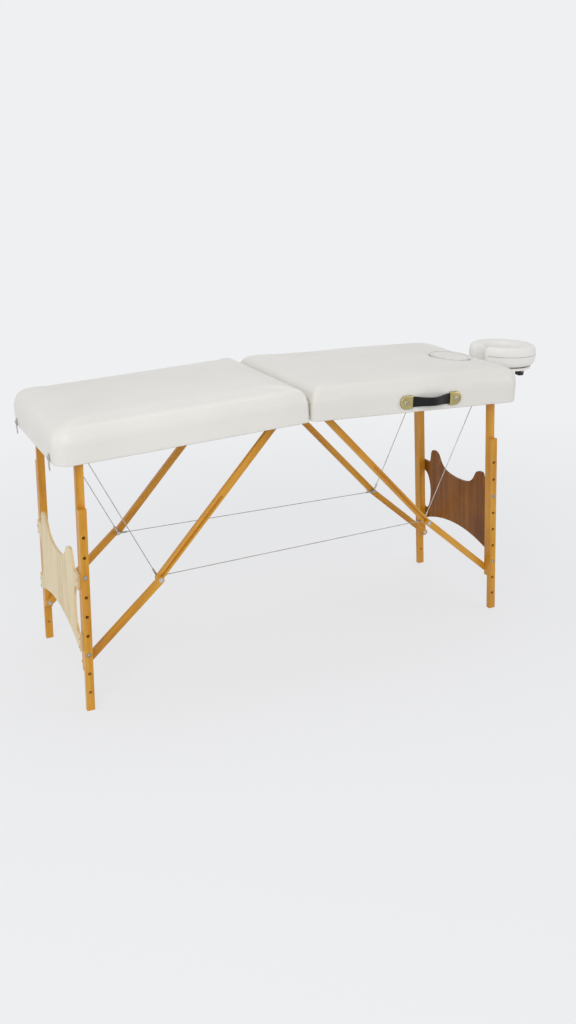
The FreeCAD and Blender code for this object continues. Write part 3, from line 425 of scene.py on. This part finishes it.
def makeDeckPad(half):
    size = deckPad
    side = sideOf[half]
    hasHole = half == "right"
    profile = [(z, 0.0) for z in size["skirtTops"]]
    for degrees in range(0, 91, 9):
        angle = math.radians(degrees)
        profile.append((size["top"] - size["edgeTall"] * (1 - math.sin(angle)),
                        size["edgeInset"] + size["edgeRound"] * (1 - math.cos(angle))))

    def build(work):
        rings = []
        for z, inset in profile:
            edge = outline(size["near"], size["far"], size["halfWidth"], size["nearRound"],
                           size["farRound"], inset)
            rings.append([(x, y, z) for x, y in edge])
        stackRings(work, rings)

    def overHole(point, grow):
        return hasHole and ovalShare(point.x, point.y, grow) < 1

    piece = linkNew(f"{half}_deck_pad", meshFrom("pad", build), ivory)
    if hasHole:
        def buildHole(work):
            rings = []
            for z, grow in ((-0.02, 1.0), (0.112, 1.0), (0.14, 1.10)):
                long = faceHole["halfLength"] * faceHole["cut"] * grow
                wide = faceHole["halfWidth"] * faceHole["cut"] * grow
                rings.append([(faceHole["x"] + long * math.cos(a), wide * math.sin(a), z)
                              for a in (math.radians(k * 6) for k in range(60))])
            stackRings(work, rings)
        tool = linkNew("hole", meshFrom("hole", buildHole))
        modifier = piece.modifiers.new("hole", "BOOLEAN")
        modifier.operation, modifier.object, modifier.solver = "DIFFERENCE", tool, "EXACT"
        applyModifiers(piece)
        bpy.data.objects.remove(tool)
    remesh(piece, size["voxel"])

    def held(point):
        if overHole(point, faceHole["rim"]):
            return 1.0
        return min(1.0, max(0.0, (size["freeFrom"] - point.z) / size["fade"]))

    puff(piece, held, size["cap"], size["sideways"])
    work = bmesh.new()
    work.from_mesh(piece.data)
    gone = []
    for face in work.faces:
        middle = face.calc_center_median()
        under = middle.z < 0.004 and face.normal.z < -0.5
        if under or (middle.z < size["boardTop"] + 0.002 and overHole(middle, faceHole["ledge"])):
            gone.append(face)
    bmesh.ops.delete(work, geom=gone, context="FACES")
    for vertex in work.verts:
        if vertex.is_boundary:
            vertex.co.z = size["boardTop"] + 0.0006 if vertex.co.z > 0.03 else 0.0
        if vertex.co.z < size["tightBelow"] and not overHole(vertex.co, faceHole["ledge"]):
            ontoSkirt(vertex.co, 0.0002)
        share = math.sqrt(ovalShare(vertex.co.x, vertex.co.y))
        if hasHole and 0.90 < share < 1.10 and vertex.co.z < size["top"] - 0.004:
            # the wall of the face hole follows its oval
            vertex.co.x = faceHole["x"] + (vertex.co.x - faceHole["x"]) * faceHole["wall"] / share
            vertex.co.y *= faceHole["wall"] / share
    work.to_mesh(piece.data)
    work.free()
    finishSmooth(piece, size["leather"])
    placeOnHalf(piece, side)
    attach(piece, f"{half}_half")
    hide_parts(f"{half}_cover", f"{half}_foam")


plug = {"gap": 0.0008, "base": 0.0618, "top": 0.1195, "round": 0.007, "freeTop": 0.012,
        "voxel": 0.0045, "cap": 0.0030, "fill": 0.8, "weltLift": 0.0006, "weltRound": 0.0021}


def makePlug():
    a, b = faceHole["halfLength"] - plug["gap"], faceHole["halfWidth"] - plug["gap"]
    profile = [(plug["base"], 0.002), (plug["base"] + 0.002, 0.0)]
    for degrees in range(0, 91, 15):
        angle = math.radians(degrees)
        profile.append((plug["top"] - plug["round"] * (1 - math.sin(angle)),
                        plug["round"] * (1 - math.cos(angle))))

    def build(work):
        rings = [[(faceHole["x"] + (a - inset) * math.cos(t), (b - inset) * math.sin(t), z)
                  for t in (math.radians(k * 5) for k in range(72))] for z, inset in profile]
        stackRings(work, rings)

    piece = linkNew("face_plug_pad", meshFrom("plug", build), ivory)
    remesh(piece, plug["voxel"])
    heldBelow = plug["top"] - plug["freeTop"]
    puff(piece, lambda point: 1.0 if point.z < heldBelow else 0.0, plug["cap"])
    finishSmooth(piece)
    placeOnHalf(piece, 1)
    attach(piece, "face_hole_plug")
    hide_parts("face_hole_plug")


faceRing = {"x": 0.992, "z": 0.112, "path": 0.0945, "halfWide": 0.0335, "halfTall": 0.0375,
            "open": 15.5, "endRound": 9, "corners": 28, "squareness": 0.62, "topLean": 0.16,
            "steps": 48, "ends": ((0.155, 0.25), (0.125, 0.62), (0.08, 0.86), (0.035, 0.97)),
            "baseTop": 0.0708, "seamZ": 0.117, "seamRound": 0.0009,
            "voxel": 0.0045, "cap": 0.007, "fill": 0.75}


def ringPoint(angle, out, up):
    # round the horseshoe, which opens towards the table
    reach = faceRing["path"] + out
    return (faceRing["x"] - reach * math.cos(angle), -reach * math.sin(angle), faceRing["z"] + up)


def makeFaceCushion():
    size = faceRing

    def section(angle, shrink):
        points = []
        for k in range(size["corners"]):
            t = 2 * math.pi * k / size["corners"]
            out = rounded(math.cos(t), size["squareness"]) * size["halfWide"] * shrink
            up = rounded(math.sin(t), size["squareness"]) * size["halfTall"] * shrink
            if math.sin(t) > 0:
                up += size["topLean"] * out                 # the top leans in towards the face
            points.append(ringPoint(angle, out, up))
        return points

    def build(work):
        start = math.radians(size["open"] + size["endRound"])
        stop = math.radians(360 - size["open"] - size["endRound"])
        rings = [section(start - turnBack, shrink) for turnBack, shrink in size["ends"]]
        for k in range(size["steps"] + 1):
            rings.append(section(start + (stop - start) * k / size["steps"], 1.0))
        rings += [section(stop + turnBack, shrink) for turnBack, shrink in reversed(size["ends"])]
        stackRings(work, rings)

    piece = linkNew("face_cushion_pad", meshFrom("ring", build), ivoryFace)
    remesh(piece, size["voxel"])
    heldBelow = size["z"] - size["halfTall"] + 0.003
    puff(piece, lambda point: 1.0 if point.z < heldBelow else 0.0, size["cap"])
    finishSmooth(piece)
    for vertex in piece.data.vertices:
        vertex.co.z = max(vertex.co.z, size["baseTop"])     # it rests flat on its base
    seam = seamPath(piece)
    placeOnHalf(piece, 1)
    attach(piece, "headrest")
    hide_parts("headrest_cushion")
    return seam


def seamPath(piece):
    # points on the cushion's outer side at one height
    work = bmesh.new()
    work.from_mesh(piece.data)
    tree = BVHTree.FromBMesh(work)
    points, spots, endGap = [], 96, 12
    first = faceRing["open"] + endGap
    up = faceRing["seamZ"] - faceRing["z"]
    for k in range(spots + 1):
        angle = math.radians(first + (360 - 2 * first) * k / spots)
        start = Vector(ringPoint(angle, 0.09, up))
        inward = Vector(ringPoint(angle, 0.0, up)) - start
        hit, normal, _, _ = tree.ray_cast(start, inward.normalized())
        if hit:
            points.append(hit - normal * 0.0002)
    work.free()
    return points


for half in halves:
    makeDeckPad(half)
print("deck pads done")
makePlug()
cushionSeam = makeFaceCushion()
print("face cushion and plug done")


# geometry node trees for what repeats or follows a line


def newTree(name, sizes):
    # sizes: {input name: (socket kind, value)}
    tree = bpy.data.node_groups.new(name, "GeometryNodeTree")
    tree.interface.new_socket("Geometry", in_out="INPUT", socket_type="NodeSocketGeometry")
    for label, (kind, value) in sizes.items():
        socket = tree.interface.new_socket(label, in_out="INPUT", socket_type=kind)
        if value is not None:
            socket.default_value = value
    tree.interface.new_socket("Geometry", in_out="OUTPUT", socket_type="NodeSocketGeometry")
    return tree, tree.nodes.new("NodeGroupInput"), tree.nodes.new("NodeGroupOutput")


def bakeTree(name, tree, source, values):
    # runs the tree on the source mesh and returns a plain mesh object
    modifier = source.modifiers.new("nodes", "NODES")
    modifier.node_group = tree
    for item in tree.interface.items_tree:
        if item.in_out == "INPUT" and item.name in values:
            modifier[item.identifier] = values[item.name]
    bpy.context.view_layer.update()
    depsgraph = bpy.context.evaluated_depsgraph_get()
    mesh = bpy.data.meshes.new_from_object(source.evaluated_get(depsgraph))
    source.modifiers.clear()
    bpy.data.objects.remove(source)
    return linkNew(name, mesh)


def pointCloud(name, points, facings):
    mesh = bpy.data.meshes.new(name)
    mesh.from_pydata([tuple(point) for point in points], [], [])
    facing = mesh.attributes.new("facing", "FLOAT_VECTOR", "POINT")
    facing.data.foreach_set("vector", [value for vector in facings for value in vector])
    return linkNew(name, mesh)


def lineMesh(name, points, closed=False):
    mesh = bpy.data.meshes.new(name)
    edges = [(i, i + 1) for i in range(len(points) - 1)]
    if closed:
        edges.append((len(points) - 1, 0))
    mesh.from_pydata([tuple(point) for point in points], edges, [])
    return linkNew(name, mesh)


def scatter(tree, points, shape, direction):
    # puts the shape on every point, its Z along the direction
    turn = addNode(tree, "FunctionNodeAlignRotationToVector", axis="Z")
    place = addNode(tree, "GeometryNodeInstanceOnPoints")
    join(tree, direction, turn.inputs["Vector"])
    join(tree, points, place.inputs["Points"])
    join(tree, shape, place.inputs["Instance"])
    join(tree, turn.outputs["Rotation"], place.inputs["Rotation"])
    return place.outputs["Instances"]


def facingOf(tree):
    facing = addNode(tree, "GeometryNodeInputNamedAttribute", data_type="FLOAT_VECTOR")
    facing.inputs["Name"].default_value = "facing"
    return facing.outputs["Attribute"]


def realizeAndFinish(tree, given, geometry):
    realize = addNode(tree, "GeometryNodeRealizeInstances")
    finish = addNode(tree, "GeometryNodeSetMaterial")
    join(tree, geometry, realize.inputs["Geometry"])
    join(tree, realize.outputs["Geometry"], finish.inputs["Geometry"])
    join(tree, given.outputs["Finish"], finish.inputs["Material"])
    return finish.outputs["Geometry"]


def timesRadius(tree, given, share):
    node = addNode(tree, "ShaderNodeMath", operation="MULTIPLY")
    node.inputs[1].default_value = share
    join(tree, given.outputs["Radius"], node.inputs[0])
    return node.outputs[0]


def screwTree():
    # a domed head with a cross recess on every point, turned to its facing; the recess is a thin
    # near-black cross laid on the head, painted shadow for the hollow
    tree, given, result = newTree("screwHeads", {
        "Radius": ("NodeSocketFloat", 0.004), "Height": ("NodeSocketFloat", 0.0012),
        "Finish": ("NodeSocketMaterial", None), "Recess": ("NodeSocketMaterial", None)})
    dome = addNode(tree, "GeometryNodeMeshCone", in_Vertices=20, in_Side_Segments=1)
    join(tree, given.outputs["Radius"], dome.inputs["Radius Bottom"])
    join(tree, given.outputs["Height"], dome.inputs["Depth"])
    join(tree, timesRadius(tree, given, 0.62), dome.inputs["Radius Top"])
    both = addNode(tree, "GeometryNodeJoinGeometry")
    join(tree, dome.outputs["Mesh"], both.inputs["Geometry"])
    # the two bars of the cross sit on the dome's top and take the painted-shadow colour
    for long, wide in (("X", "Y"), ("Y", "X")):
        bar = addNode(tree, "GeometryNodeMeshCube")
        size = addNode(tree, "ShaderNodeCombineXYZ")
        join(tree, timesRadius(tree, given, 1.0), size.inputs[long])
        join(tree, timesRadius(tree, given, 0.22), size.inputs[wide])
        size.inputs["Z"].default_value = 0.0003
        join(tree, size.outputs[0], bar.inputs["Size"])
        lifted = addNode(tree, "GeometryNodeTransform")
        height = addNode(tree, "ShaderNodeCombineXYZ")
        join(tree, given.outputs["Height"], height.inputs["Z"])
        join(tree, bar.outputs["Mesh"], lifted.inputs["Geometry"])
        join(tree, height.outputs[0], lifted.inputs["Translation"])
        marked = addNode(tree, "GeometryNodeStoreNamedAttribute", data_type="BOOLEAN", domain="FACE")
        marked.inputs["Name"].default_value = "recess"
        marked.inputs["Value"].default_value = True
        join(tree, lifted.outputs["Geometry"], marked.inputs["Geometry"])
        join(tree, marked.outputs["Geometry"], both.inputs["Geometry"])
    heads = scatter(tree, given.outputs["Geometry"], both.outputs["Geometry"], facingOf(tree))
    finished = realizeAndFinish(tree, given, heads)
    inRecess = addNode(tree, "GeometryNodeInputNamedAttribute", data_type="BOOLEAN")
    inRecess.inputs["Name"].default_value = "recess"
    recess = addNode(tree, "GeometryNodeSetMaterial")
    join(tree, finished, recess.inputs["Geometry"])
    join(tree, inRecess.outputs["Attribute"], recess.inputs["Selection"])
    join(tree, given.outputs["Recess"], recess.inputs["Material"])
    join(tree, recess.outputs["Geometry"], result.inputs["Geometry"])
    return tree


def rimTree():
    # a darker ring round every hole
    tree, given, result = newTree("holeRims", {
        "Radius": ("NodeSocketFloat", 0.0045), "Wire": ("NodeSocketFloat", 0.0005),
        "Finish": ("NodeSocketMaterial", None)})
    circle = addNode(tree, "GeometryNodeCurvePrimitiveCircle", in_Resolution=20)
    wireCircle = addNode(tree, "GeometryNodeCurvePrimitiveCircle", in_Resolution=6)
    ring = addNode(tree, "GeometryNodeCurveToMesh")
    join(tree, given.outputs["Radius"], circle.inputs["Radius"])
    join(tree, given.outputs["Wire"], wireCircle.inputs["Radius"])
    join(tree, circle.outputs["Curve"], ring.inputs["Curve"])
    join(tree, wireCircle.outputs["Curve"], ring.inputs["Profile Curve"])
    rings = scatter(tree, given.outputs["Geometry"], ring.outputs["Mesh"], facingOf(tree))
    join(tree, realizeAndFinish(tree, given, rings), result.inputs["Geometry"])
    return tree


def stitchTree():
    # a short rounded thread at even steps along a line
    tree, given, result = newTree("stitches", {
        "Pitch": ("NodeSocketFloat", 0.005), "Stitch": ("NodeSocketFloat", 0.0032),
        "Thread": ("NodeSocketFloat", 0.0004), "Finish": ("NodeSocketMaterial", None)})
    line = addNode(tree, "GeometryNodeMeshToCurve")
    even = addNode(tree, "GeometryNodeResampleCurve", mode="LENGTH")
    join(tree, given.outputs["Geometry"], line.inputs["Mesh"])
    join(tree, line.outputs["Curve"], even.inputs["Curve"])
    join(tree, given.outputs["Pitch"], even.inputs["Length"])
    thread = addNode(tree, "GeometryNodeMeshCylinder", in_Vertices=8)
    join(tree, given.outputs["Thread"], thread.inputs["Radius"])
    join(tree, given.outputs["Stitch"], thread.inputs["Depth"])
    tangent = addNode(tree, "GeometryNodeInputTangent")
    threads = scatter(tree, even.outputs["Curve"], thread.outputs["Mesh"], tangent.outputs["Tangent"])
    join(tree, realizeAndFinish(tree, given, threads), result.inputs["Geometry"])
    return tree


def weltTree():
    # a thin rolled edge along a line
    tree, given, result = newTree("welt", {
        "Wire": ("NodeSocketFloat", 0.0008), "Finish": ("NodeSocketMaterial", None)})
    line = addNode(tree, "GeometryNodeMeshToCurve")
    wireCircle = addNode(tree, "GeometryNodeCurvePrimitiveCircle", in_Resolution=8)
    roll = addNode(tree, "GeometryNodeCurveToMesh", in_Fill_Caps=True)
    join(tree, given.outputs["Geometry"], line.inputs["Mesh"])
    join(tree, given.outputs["Wire"], wireCircle.inputs["Radius"])
    join(tree, line.outputs["Curve"], roll.inputs["Curve"])
    join(tree, wireCircle.outputs["Curve"], roll.inputs["Profile Curve"])
    join(tree, realizeAndFinish(tree, given, roll.outputs["Mesh"]), result.inputs["Geometry"])
    return tree


screws, rims, stitches, welt = screwTree(), rimTree(), stitchTree(), weltTree()
# painted shadow: near-black metal for the screw recess crosses, standing in for the shade inside a
# real recess
recessShadow = metalMaterial("screwRecessShadow", (0.03, 0.03, 0.03), 0.5, metallic=0.6)
# a darker wood for the rings round the leg holes
darkRingWood = woodMaterial("holeEdgeWood", srgb(120, 74, 28), srgb(92, 54, 18), srgb(60, 34, 12))
blackThread = leatherMaterial("blackThread", srgb(30, 29, 28), srgb(20, 19, 18))
# painted shade: the cushion's ivory darkened to about two thirds for the rolled seam, standing in for
# the shade in its crease
seamShade = leatherMaterial("seamShade", srgb(150, 146, 138), srgb(118, 114, 108))

# the lean is the legs' splay of 2.6 degrees and the section's tilt of 2.2
legs = {"pivot": (0.770, 0.029), "lean": math.radians(4.8), "thick": 0.018, "wide": 0.026,
        "face": {"left": 0.302, "right": 0.267}, "panel": 0.009,
        "firstHole": 0.270, "pitch": 0.067, "holes": 9, "rimRadius": 0.0049, "rimWire": 0.0006,
        "screwDepths": (0.418, 0.621, 0.650), "headRadius": 0.0040, "headTall": 0.0009}


def legPoint(side, out, down, y):
    # out from the leg's middle line, and down along it from its pivot
    c, s = math.cos(legs["lean"]), math.sin(legs["lean"])
    x, z = legs["pivot"]
    return halfPoint(side, x + out * c + down * s, y, z + out * s - down * c)


def makeLegDetails(half):
    side, face = sideOf[half], legs["face"][half]
    outFacing = legPoint(side, 1, 0, 0) - legPoint(side, 0, 0, 0)
    spots, facings = [], []
    for sign in (-1, 1):
        y = sign * (face - legs["thick"] - 0.0004 - legs["thick"] / 2)
        for down in legs["screwDepths"]:
            spots.append(legPoint(side, legs["wide"] / 2 + legs["panel"] + 0.0012, down, y))
            facings.append(outFacing)
    heads = bakeTree(f"{half}_panel_screw_heads", screws, pointCloud("spots", spots, facings),
                     {"Radius": legs["headRadius"], "Height": legs["headTall"],
                      "Finish": steel, "Recess": recessShadow})
    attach(heads, f"{half}_leg_set")
    for row, sign in (("front", -1), ("back", 1)):
        spots, facings = [], []
        for number in range(legs["holes"]):
            down = legs["firstHole"] + number * legs["pitch"]
            spots.append(legPoint(side, 0, down, sign * face))
            facings.append((0, sign, 0))
        rings = bakeTree(f"{half}_{row}_hole_rims", rims, pointCloud("spots", spots, facings),
                         {"Radius": legs["rimRadius"], "Wire": legs["rimWire"], "Finish": darkRingWood})
        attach(rings, f"{half}_{row}_foot")


for half in halves:
    makeLegDetails(half)
# the seam's rolled edge takes the painted-shade grey
seamLine = [halfPoint(1, *point) for point in cushionSeam]
seam = bakeTree("face_cushion_seam", welt, lineMesh("seam", seamLine),
                {"Wire": faceRing["seamRound"], "Finish": seamShade})
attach(seam, "headrest")
plugEdge = []
for step in range(90):
    angle = math.radians(step * 4)
    plugEdge.append(halfPoint(1, faceHole["x"] + faceHole["halfLength"] * math.cos(angle),
                              faceHole["halfWidth"] * math.sin(angle), plug["top"] + plug["weltLift"]))
plugWelt = bakeTree("face_plug_welt", welt, lineMesh("edge", plugEdge, True),
                    {"Wire": plug["weltRound"], "Finish": ivoryFace})
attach(plugWelt, "face_hole_plug")
print("screws, hole rims and seams done")


# carrying handle

handle = {"middle": 0.458, "halfSpan": 0.100, "height": 0.037, "face": -0.320, "width": 0.038,
          "waist": 0.80, "thick": 0.0055, "endThick": 0.0044, "bow": 0.022, "knee": 0.073,
          "endInset": 0.006, "seated": 0.0034, "stitchedTo": 0.72, "stitchInset": 0.0042,
          "plateHalf": 0.024, "plateDeep": 0.0088}


# along runs from -1 to 1 between the strap's ends, which sit under the plates

def strapX(along):
    return handle["middle"] + along * (handle["halfSpan"] - handle["endInset"])


def strapOut(along):
    # how far the strap stands out from the deck's side
    reach = abs(along) * (handle["halfSpan"] - handle["endInset"])
    if reach > handle["knee"]:
        return handle["seated"]
    return handle["seated"] + handle["bow"] * (math.cos(math.pi * reach / handle["knee"]) + 1) / 2


def strapHalfWidth(along):
    narrow = handle["waist"] + (1 - handle["waist"]) * min(1, abs(along) / 0.78) ** 2
    return handle["width"] / 2 * narrow


def strapHalfThick(along):
    return handle["thick"] / 2 * (1.0 + 0.35 * max(0, 1 - (along / 0.7) ** 2))


def makeStrap():
    def build(work):
        rings = []
        for k in range(61):
            along = -1 + 2 * k / 60
            half, out = strapHalfWidth(along), strapOut(along)
            thick = strapHalfThick(along) if abs(along) < 0.7 else handle["endThick"] / 2
            ring = []
            for j in range(24):
                t = 2 * math.pi * j / 24
                ring.append((strapX(along), handle["face"] - out - rounded(math.sin(t), 0.6) * thick,
                             handle["height"] + rounded(math.cos(t), 0.35) * half))
            rings.append(ring)
        stackRings(work, rings)

    piece = linkNew("handle_webbing", meshFrom("strap", build), strapLeather)
    finishSmooth(piece)
    placeOnHalf(piece, 1)
    faceOutward(piece)
    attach(piece, "right_half")
    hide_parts("handle_strap")
    for sign, label in ((-1, "lower"), (1, "upper")):
        line = []
        for k in range(41):
            along = handle["stitchedTo"] * (2 * k / 40 - 1)
            out = strapOut(along) + strapHalfThick(along) * 0.97
            edge = strapHalfWidth(along) - handle["stitchInset"]
            line.append(halfPoint(1, strapX(along), handle["face"] - out,
                                  handle["height"] + sign * edge))
        row = bakeTree(f"handle_{label}_stitches", stitches, lineMesh("line", line),
                       {"Pitch": 0.0052, "Stitch": 0.0036, "Thread": 0.00045, "Finish": blackThread})
        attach(row, "right_half")


def makePlates():
    # brass end caps: straight where the strap goes in, round at the far end
    def build(work):
        for sign in (-1, 1):
            middle = handle["middle"] + sign * handle["halfSpan"]
            inner = middle - sign * handle["plateHalf"]
            half = handle["plateHalf"]
            shape = [(inner, -half), (inner, half)]
            for k in range(25):
                angle = math.radians(k * 7.5)
                shape.append((middle + sign * half * 0.98 * math.sin(angle), half * math.cos(angle)))
            rings = []
            for deepShare, share in ((0.0, 1.0), (0.55, 1.0), (0.84, 0.95), (1.0, 0.84)):
                rings.append([(middle + (x - middle) * (share if sign * (x - middle) > 0 else 1.0),
                               handle["face"] - handle["plateDeep"] * deepShare,
                               handle["height"] + z * share) for x, z in shape])
            stackRings(work, rings)

    piece = linkNew("handle_end_caps", meshFrom("caps", build), brass)
    bevel = piece.modifiers.new("edges", "BEVEL")
    bevel.width, bevel.segments, bevel.limit_method = 0.0006, 2, "ANGLE"
    applyModifiers(piece)
    placeOnHalf(piece, 1)
    faceOutward(piece)
    for polygon in piece.data.polygons:
        polygon.use_smooth = len(polygon.vertices) == 4
    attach(piece, "right_half")
    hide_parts("handle_plates")
    spots = [halfPoint(1, handle["middle"] + sign * (handle["halfSpan"] + 0.003),
                       handle["face"] - handle["plateDeep"], handle["height"]) for sign in (-1, 1)]
    rivets = bakeTree("handle_rivets", screws, pointCloud("spots", spots, [(0, -1, 0)] * 2),
                      {"Radius": 0.0062, "Height": 0.0016, "Finish": steel, "Recess": recessShadow})
    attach(rivets, "right_half")


clamp = {"place": (1.040, -0.055, 0.052), "half": (0.012, 0.017, 0.020), "squareness": 0.4,
         "levels": ((-1, 0.80), (-0.82, 0.98), (-0.2, 1.0), (0.55, 0.92), (1, 0.92))}


def makeClampTab():
    # the black clamp that hangs below the outer side of the face rest
    x, y, z = clamp["place"]
    long, wide, tall = clamp["half"]

    def build(work):
        rings = []
        for level, share in clamp["levels"]:
            ring = []
            for k in range(24):
                t = math.radians(k * 15 + 7.5)
                ring.append((x + long * share * rounded(math.cos(t), clamp["squareness"]),
                             y + wide * share * rounded(math.sin(t), clamp["squareness"]),
                             z + tall * level))
            rings.append(ring)
        stackRings(work, rings)

    piece = linkNew("face_rest_clamp", meshFrom("clamp", build), blackSteel)
    placeOnHalf(piece, 1)
    finishSmooth(piece)
    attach(piece, "headrest")
    spot = pointCloud("spot", [halfPoint(1, x, y - wide, z)], [(0, -1, 0)])
    rivet = bakeTree("clamp_rivet", screws, spot,
                     {"Radius": 0.0045, "Height": 0.0012, "Finish": steel, "Recess": recessShadow})
    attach(rivet, "headrest")


strapLeather = leatherMaterial("blackStrap", srgb(13, 12, 12), srgb(7, 7, 7), 0.25)
makeStrap()
makePlates()
makeClampTab()
print("handle and clamp done")


# camera, floor and lights

view = {"lens": 35.891, "sensor": 36, "yaw": 0.4370, "pitch": 0.3495, "roll": -0.0193,
        "place": (-1.5886, -3.2195, 1.7461)}            # lens in mm, turns in radians
backdropTone = (0.865, 0.872, 0.89, 1)
floorLook = {"span": 60, "tone": (0.84, 0.845, 0.855, 1), "roughness": 0.75,
             "fadeFrom": 0.9, "fadeTo": 3.6, "glowNear": 0.72}
skyLight = {"tone": (0.95, 0.96, 1.0, 1), "strength": 0.50}
lamps = {   # place, aim, size, power
    "keyLight": ((-2.4, -3.2, 3.0), (0, 0, 0.7), (2.6, 2.6), 70),
    "topLight": ((0.4, 0.6, 4.2), (0, 0, 0.8), (3.2, 3.2), 27),
    "endLight": ((-4.2, 0.6, 1.7), (-0.6, 0, 0.8), (1.8, 1.8), 16),
    "fillLight": ((3.4, -2.6, 1.8), (0.2, 0, 0.6), (2.4, 2.4), 26),
}


def makeCamera():
    yaw, pitch, roll = view["yaw"], view["pitch"], view["roll"]
    level = math.cos(pitch)
    ahead = Vector((math.sin(yaw) * level, math.cos(yaw) * level, -math.sin(pitch)))
    right = Vector((math.cos(yaw), -math.sin(yaw), 0))
    up = right.cross(ahead)
    rolledRight = right * math.cos(roll) + up * math.sin(roll)
    rolledUp = up * math.cos(roll) - right * math.sin(roll)
    camera = bpy.data.objects.new("camera", bpy.data.cameras.new("camera"))
    bpy.context.collection.objects.link(camera)
    turned = Matrix((rolledRight, rolledUp, -ahead)).transposed()
    camera.matrix_world = Matrix.Translation(view["place"]) @ turned.to_4x4()
    camera.data.sensor_width = view["sensor"]
    camera.data.lens = view["lens"]
    bpy.context.scene.camera = camera


def softBox(name, place, aim, size, power):
    lamp = bpy.data.objects.new(name, bpy.data.lights.new(name, "AREA"))
    bpy.context.collection.objects.link(lamp)
    lamp.data.shape = "RECTANGLE"
    lamp.data.size, lamp.data.size_y = size
    lamp.data.energy = power
    lamp.location = place
    lamp.rotation_euler = (Vector(aim) - Vector(place)).to_track_quat("-Z", "Y").to_euler()


def seenDirectly(tree):
    # 1 for camera, glossy and transmission rays
    path = addNode(tree, "ShaderNodeLightPath")
    total = path.outputs["Is Camera Ray"]
    for label in ("Is Glossy Ray", "Is Transmission Ray"):
        both = addNode(tree, "ShaderNodeMath", operation="MAXIMUM")
        join(tree, total, both.inputs[0])
        join(tree, path.outputs[label], both.inputs[1])
        total = both.outputs[0]
    return total


def makeFloor():
    mesh = bpy.data.meshes.new("floor")
    span = floorLook["span"]
    corners = [(-span, -span, 0), (span, -span, 0), (span, span, 0), (-span, span, 0)]
    mesh.from_pydata(corners, [], [(0, 1, 2, 3)])
    floor = linkNew("floor", mesh)
    material, tree, shader = newMaterial("paleFloor")
    shader.inputs["Base Color"].default_value = floorLook["tone"]
    shader.inputs["Roughness"].default_value = floorLook["roughness"]
    glow = addNode(tree, "ShaderNodeEmission")
    glow.inputs["Color"].default_value = backdropTone
    away = addNode(tree, "ShaderNodeVectorMath", operation="LENGTH")
    join(tree, objectCoords(tree), away.inputs[0])
    fade = addNode(tree, "ShaderNodeMapRange", interpolation_type="SMOOTHSTEP")
    for label, value in (("From Min", floorLook["fadeFrom"]), ("From Max", floorLook["fadeTo"]),
                         ("To Min", floorLook["glowNear"]), ("To Max", 1.0)):
        fade.inputs[label].default_value = value
    join(tree, away.outputs["Value"], fade.inputs["Value"])
    share = addNode(tree, "ShaderNodeMath", operation="MULTIPLY")
    join(tree, fade.outputs["Result"], share.inputs[0])
    join(tree, seenDirectly(tree), share.inputs[1])
    mix = addNode(tree, "ShaderNodeMixShader")
    join(tree, share.outputs[0], mix.inputs["Fac"])
    join(tree, shader.outputs[0], mix.inputs[1])
    join(tree, glow.outputs[0], mix.inputs[2])
    join(tree, mix.outputs[0], tree.nodes["Material Output"].inputs["Surface"])
    floor.data.materials.append(material)


def makeWorld():
    world = bpy.data.worlds.new("studio")
    bpy.context.scene.world = world
    world.use_nodes = True
    tree = world.node_tree
    light = tree.nodes["Background"]
    light.inputs["Color"].default_value = skyLight["tone"]
    light.inputs["Strength"].default_value = skyLight["strength"]
    seen = addNode(tree, "ShaderNodeBackground", in_Strength=1.0)
    seen.inputs["Color"].default_value = backdropTone
    mix = addNode(tree, "ShaderNodeMixShader")
    join(tree, seenDirectly(tree), mix.inputs["Fac"])
    join(tree, light.outputs[0], mix.inputs[1])
    join(tree, seen.outputs[0], mix.inputs[2])
    join(tree, mix.outputs[0], tree.nodes["World Output"].inputs["Surface"])


makeCamera()
makeFloor()
makeWorld()
for name, (place, aim, size, power) in lamps.items():
    softBox(name, place, aim, size, power)
bpy.context.scene.view_settings.view_transform = "Standard"
print("camera, floor and lights done")
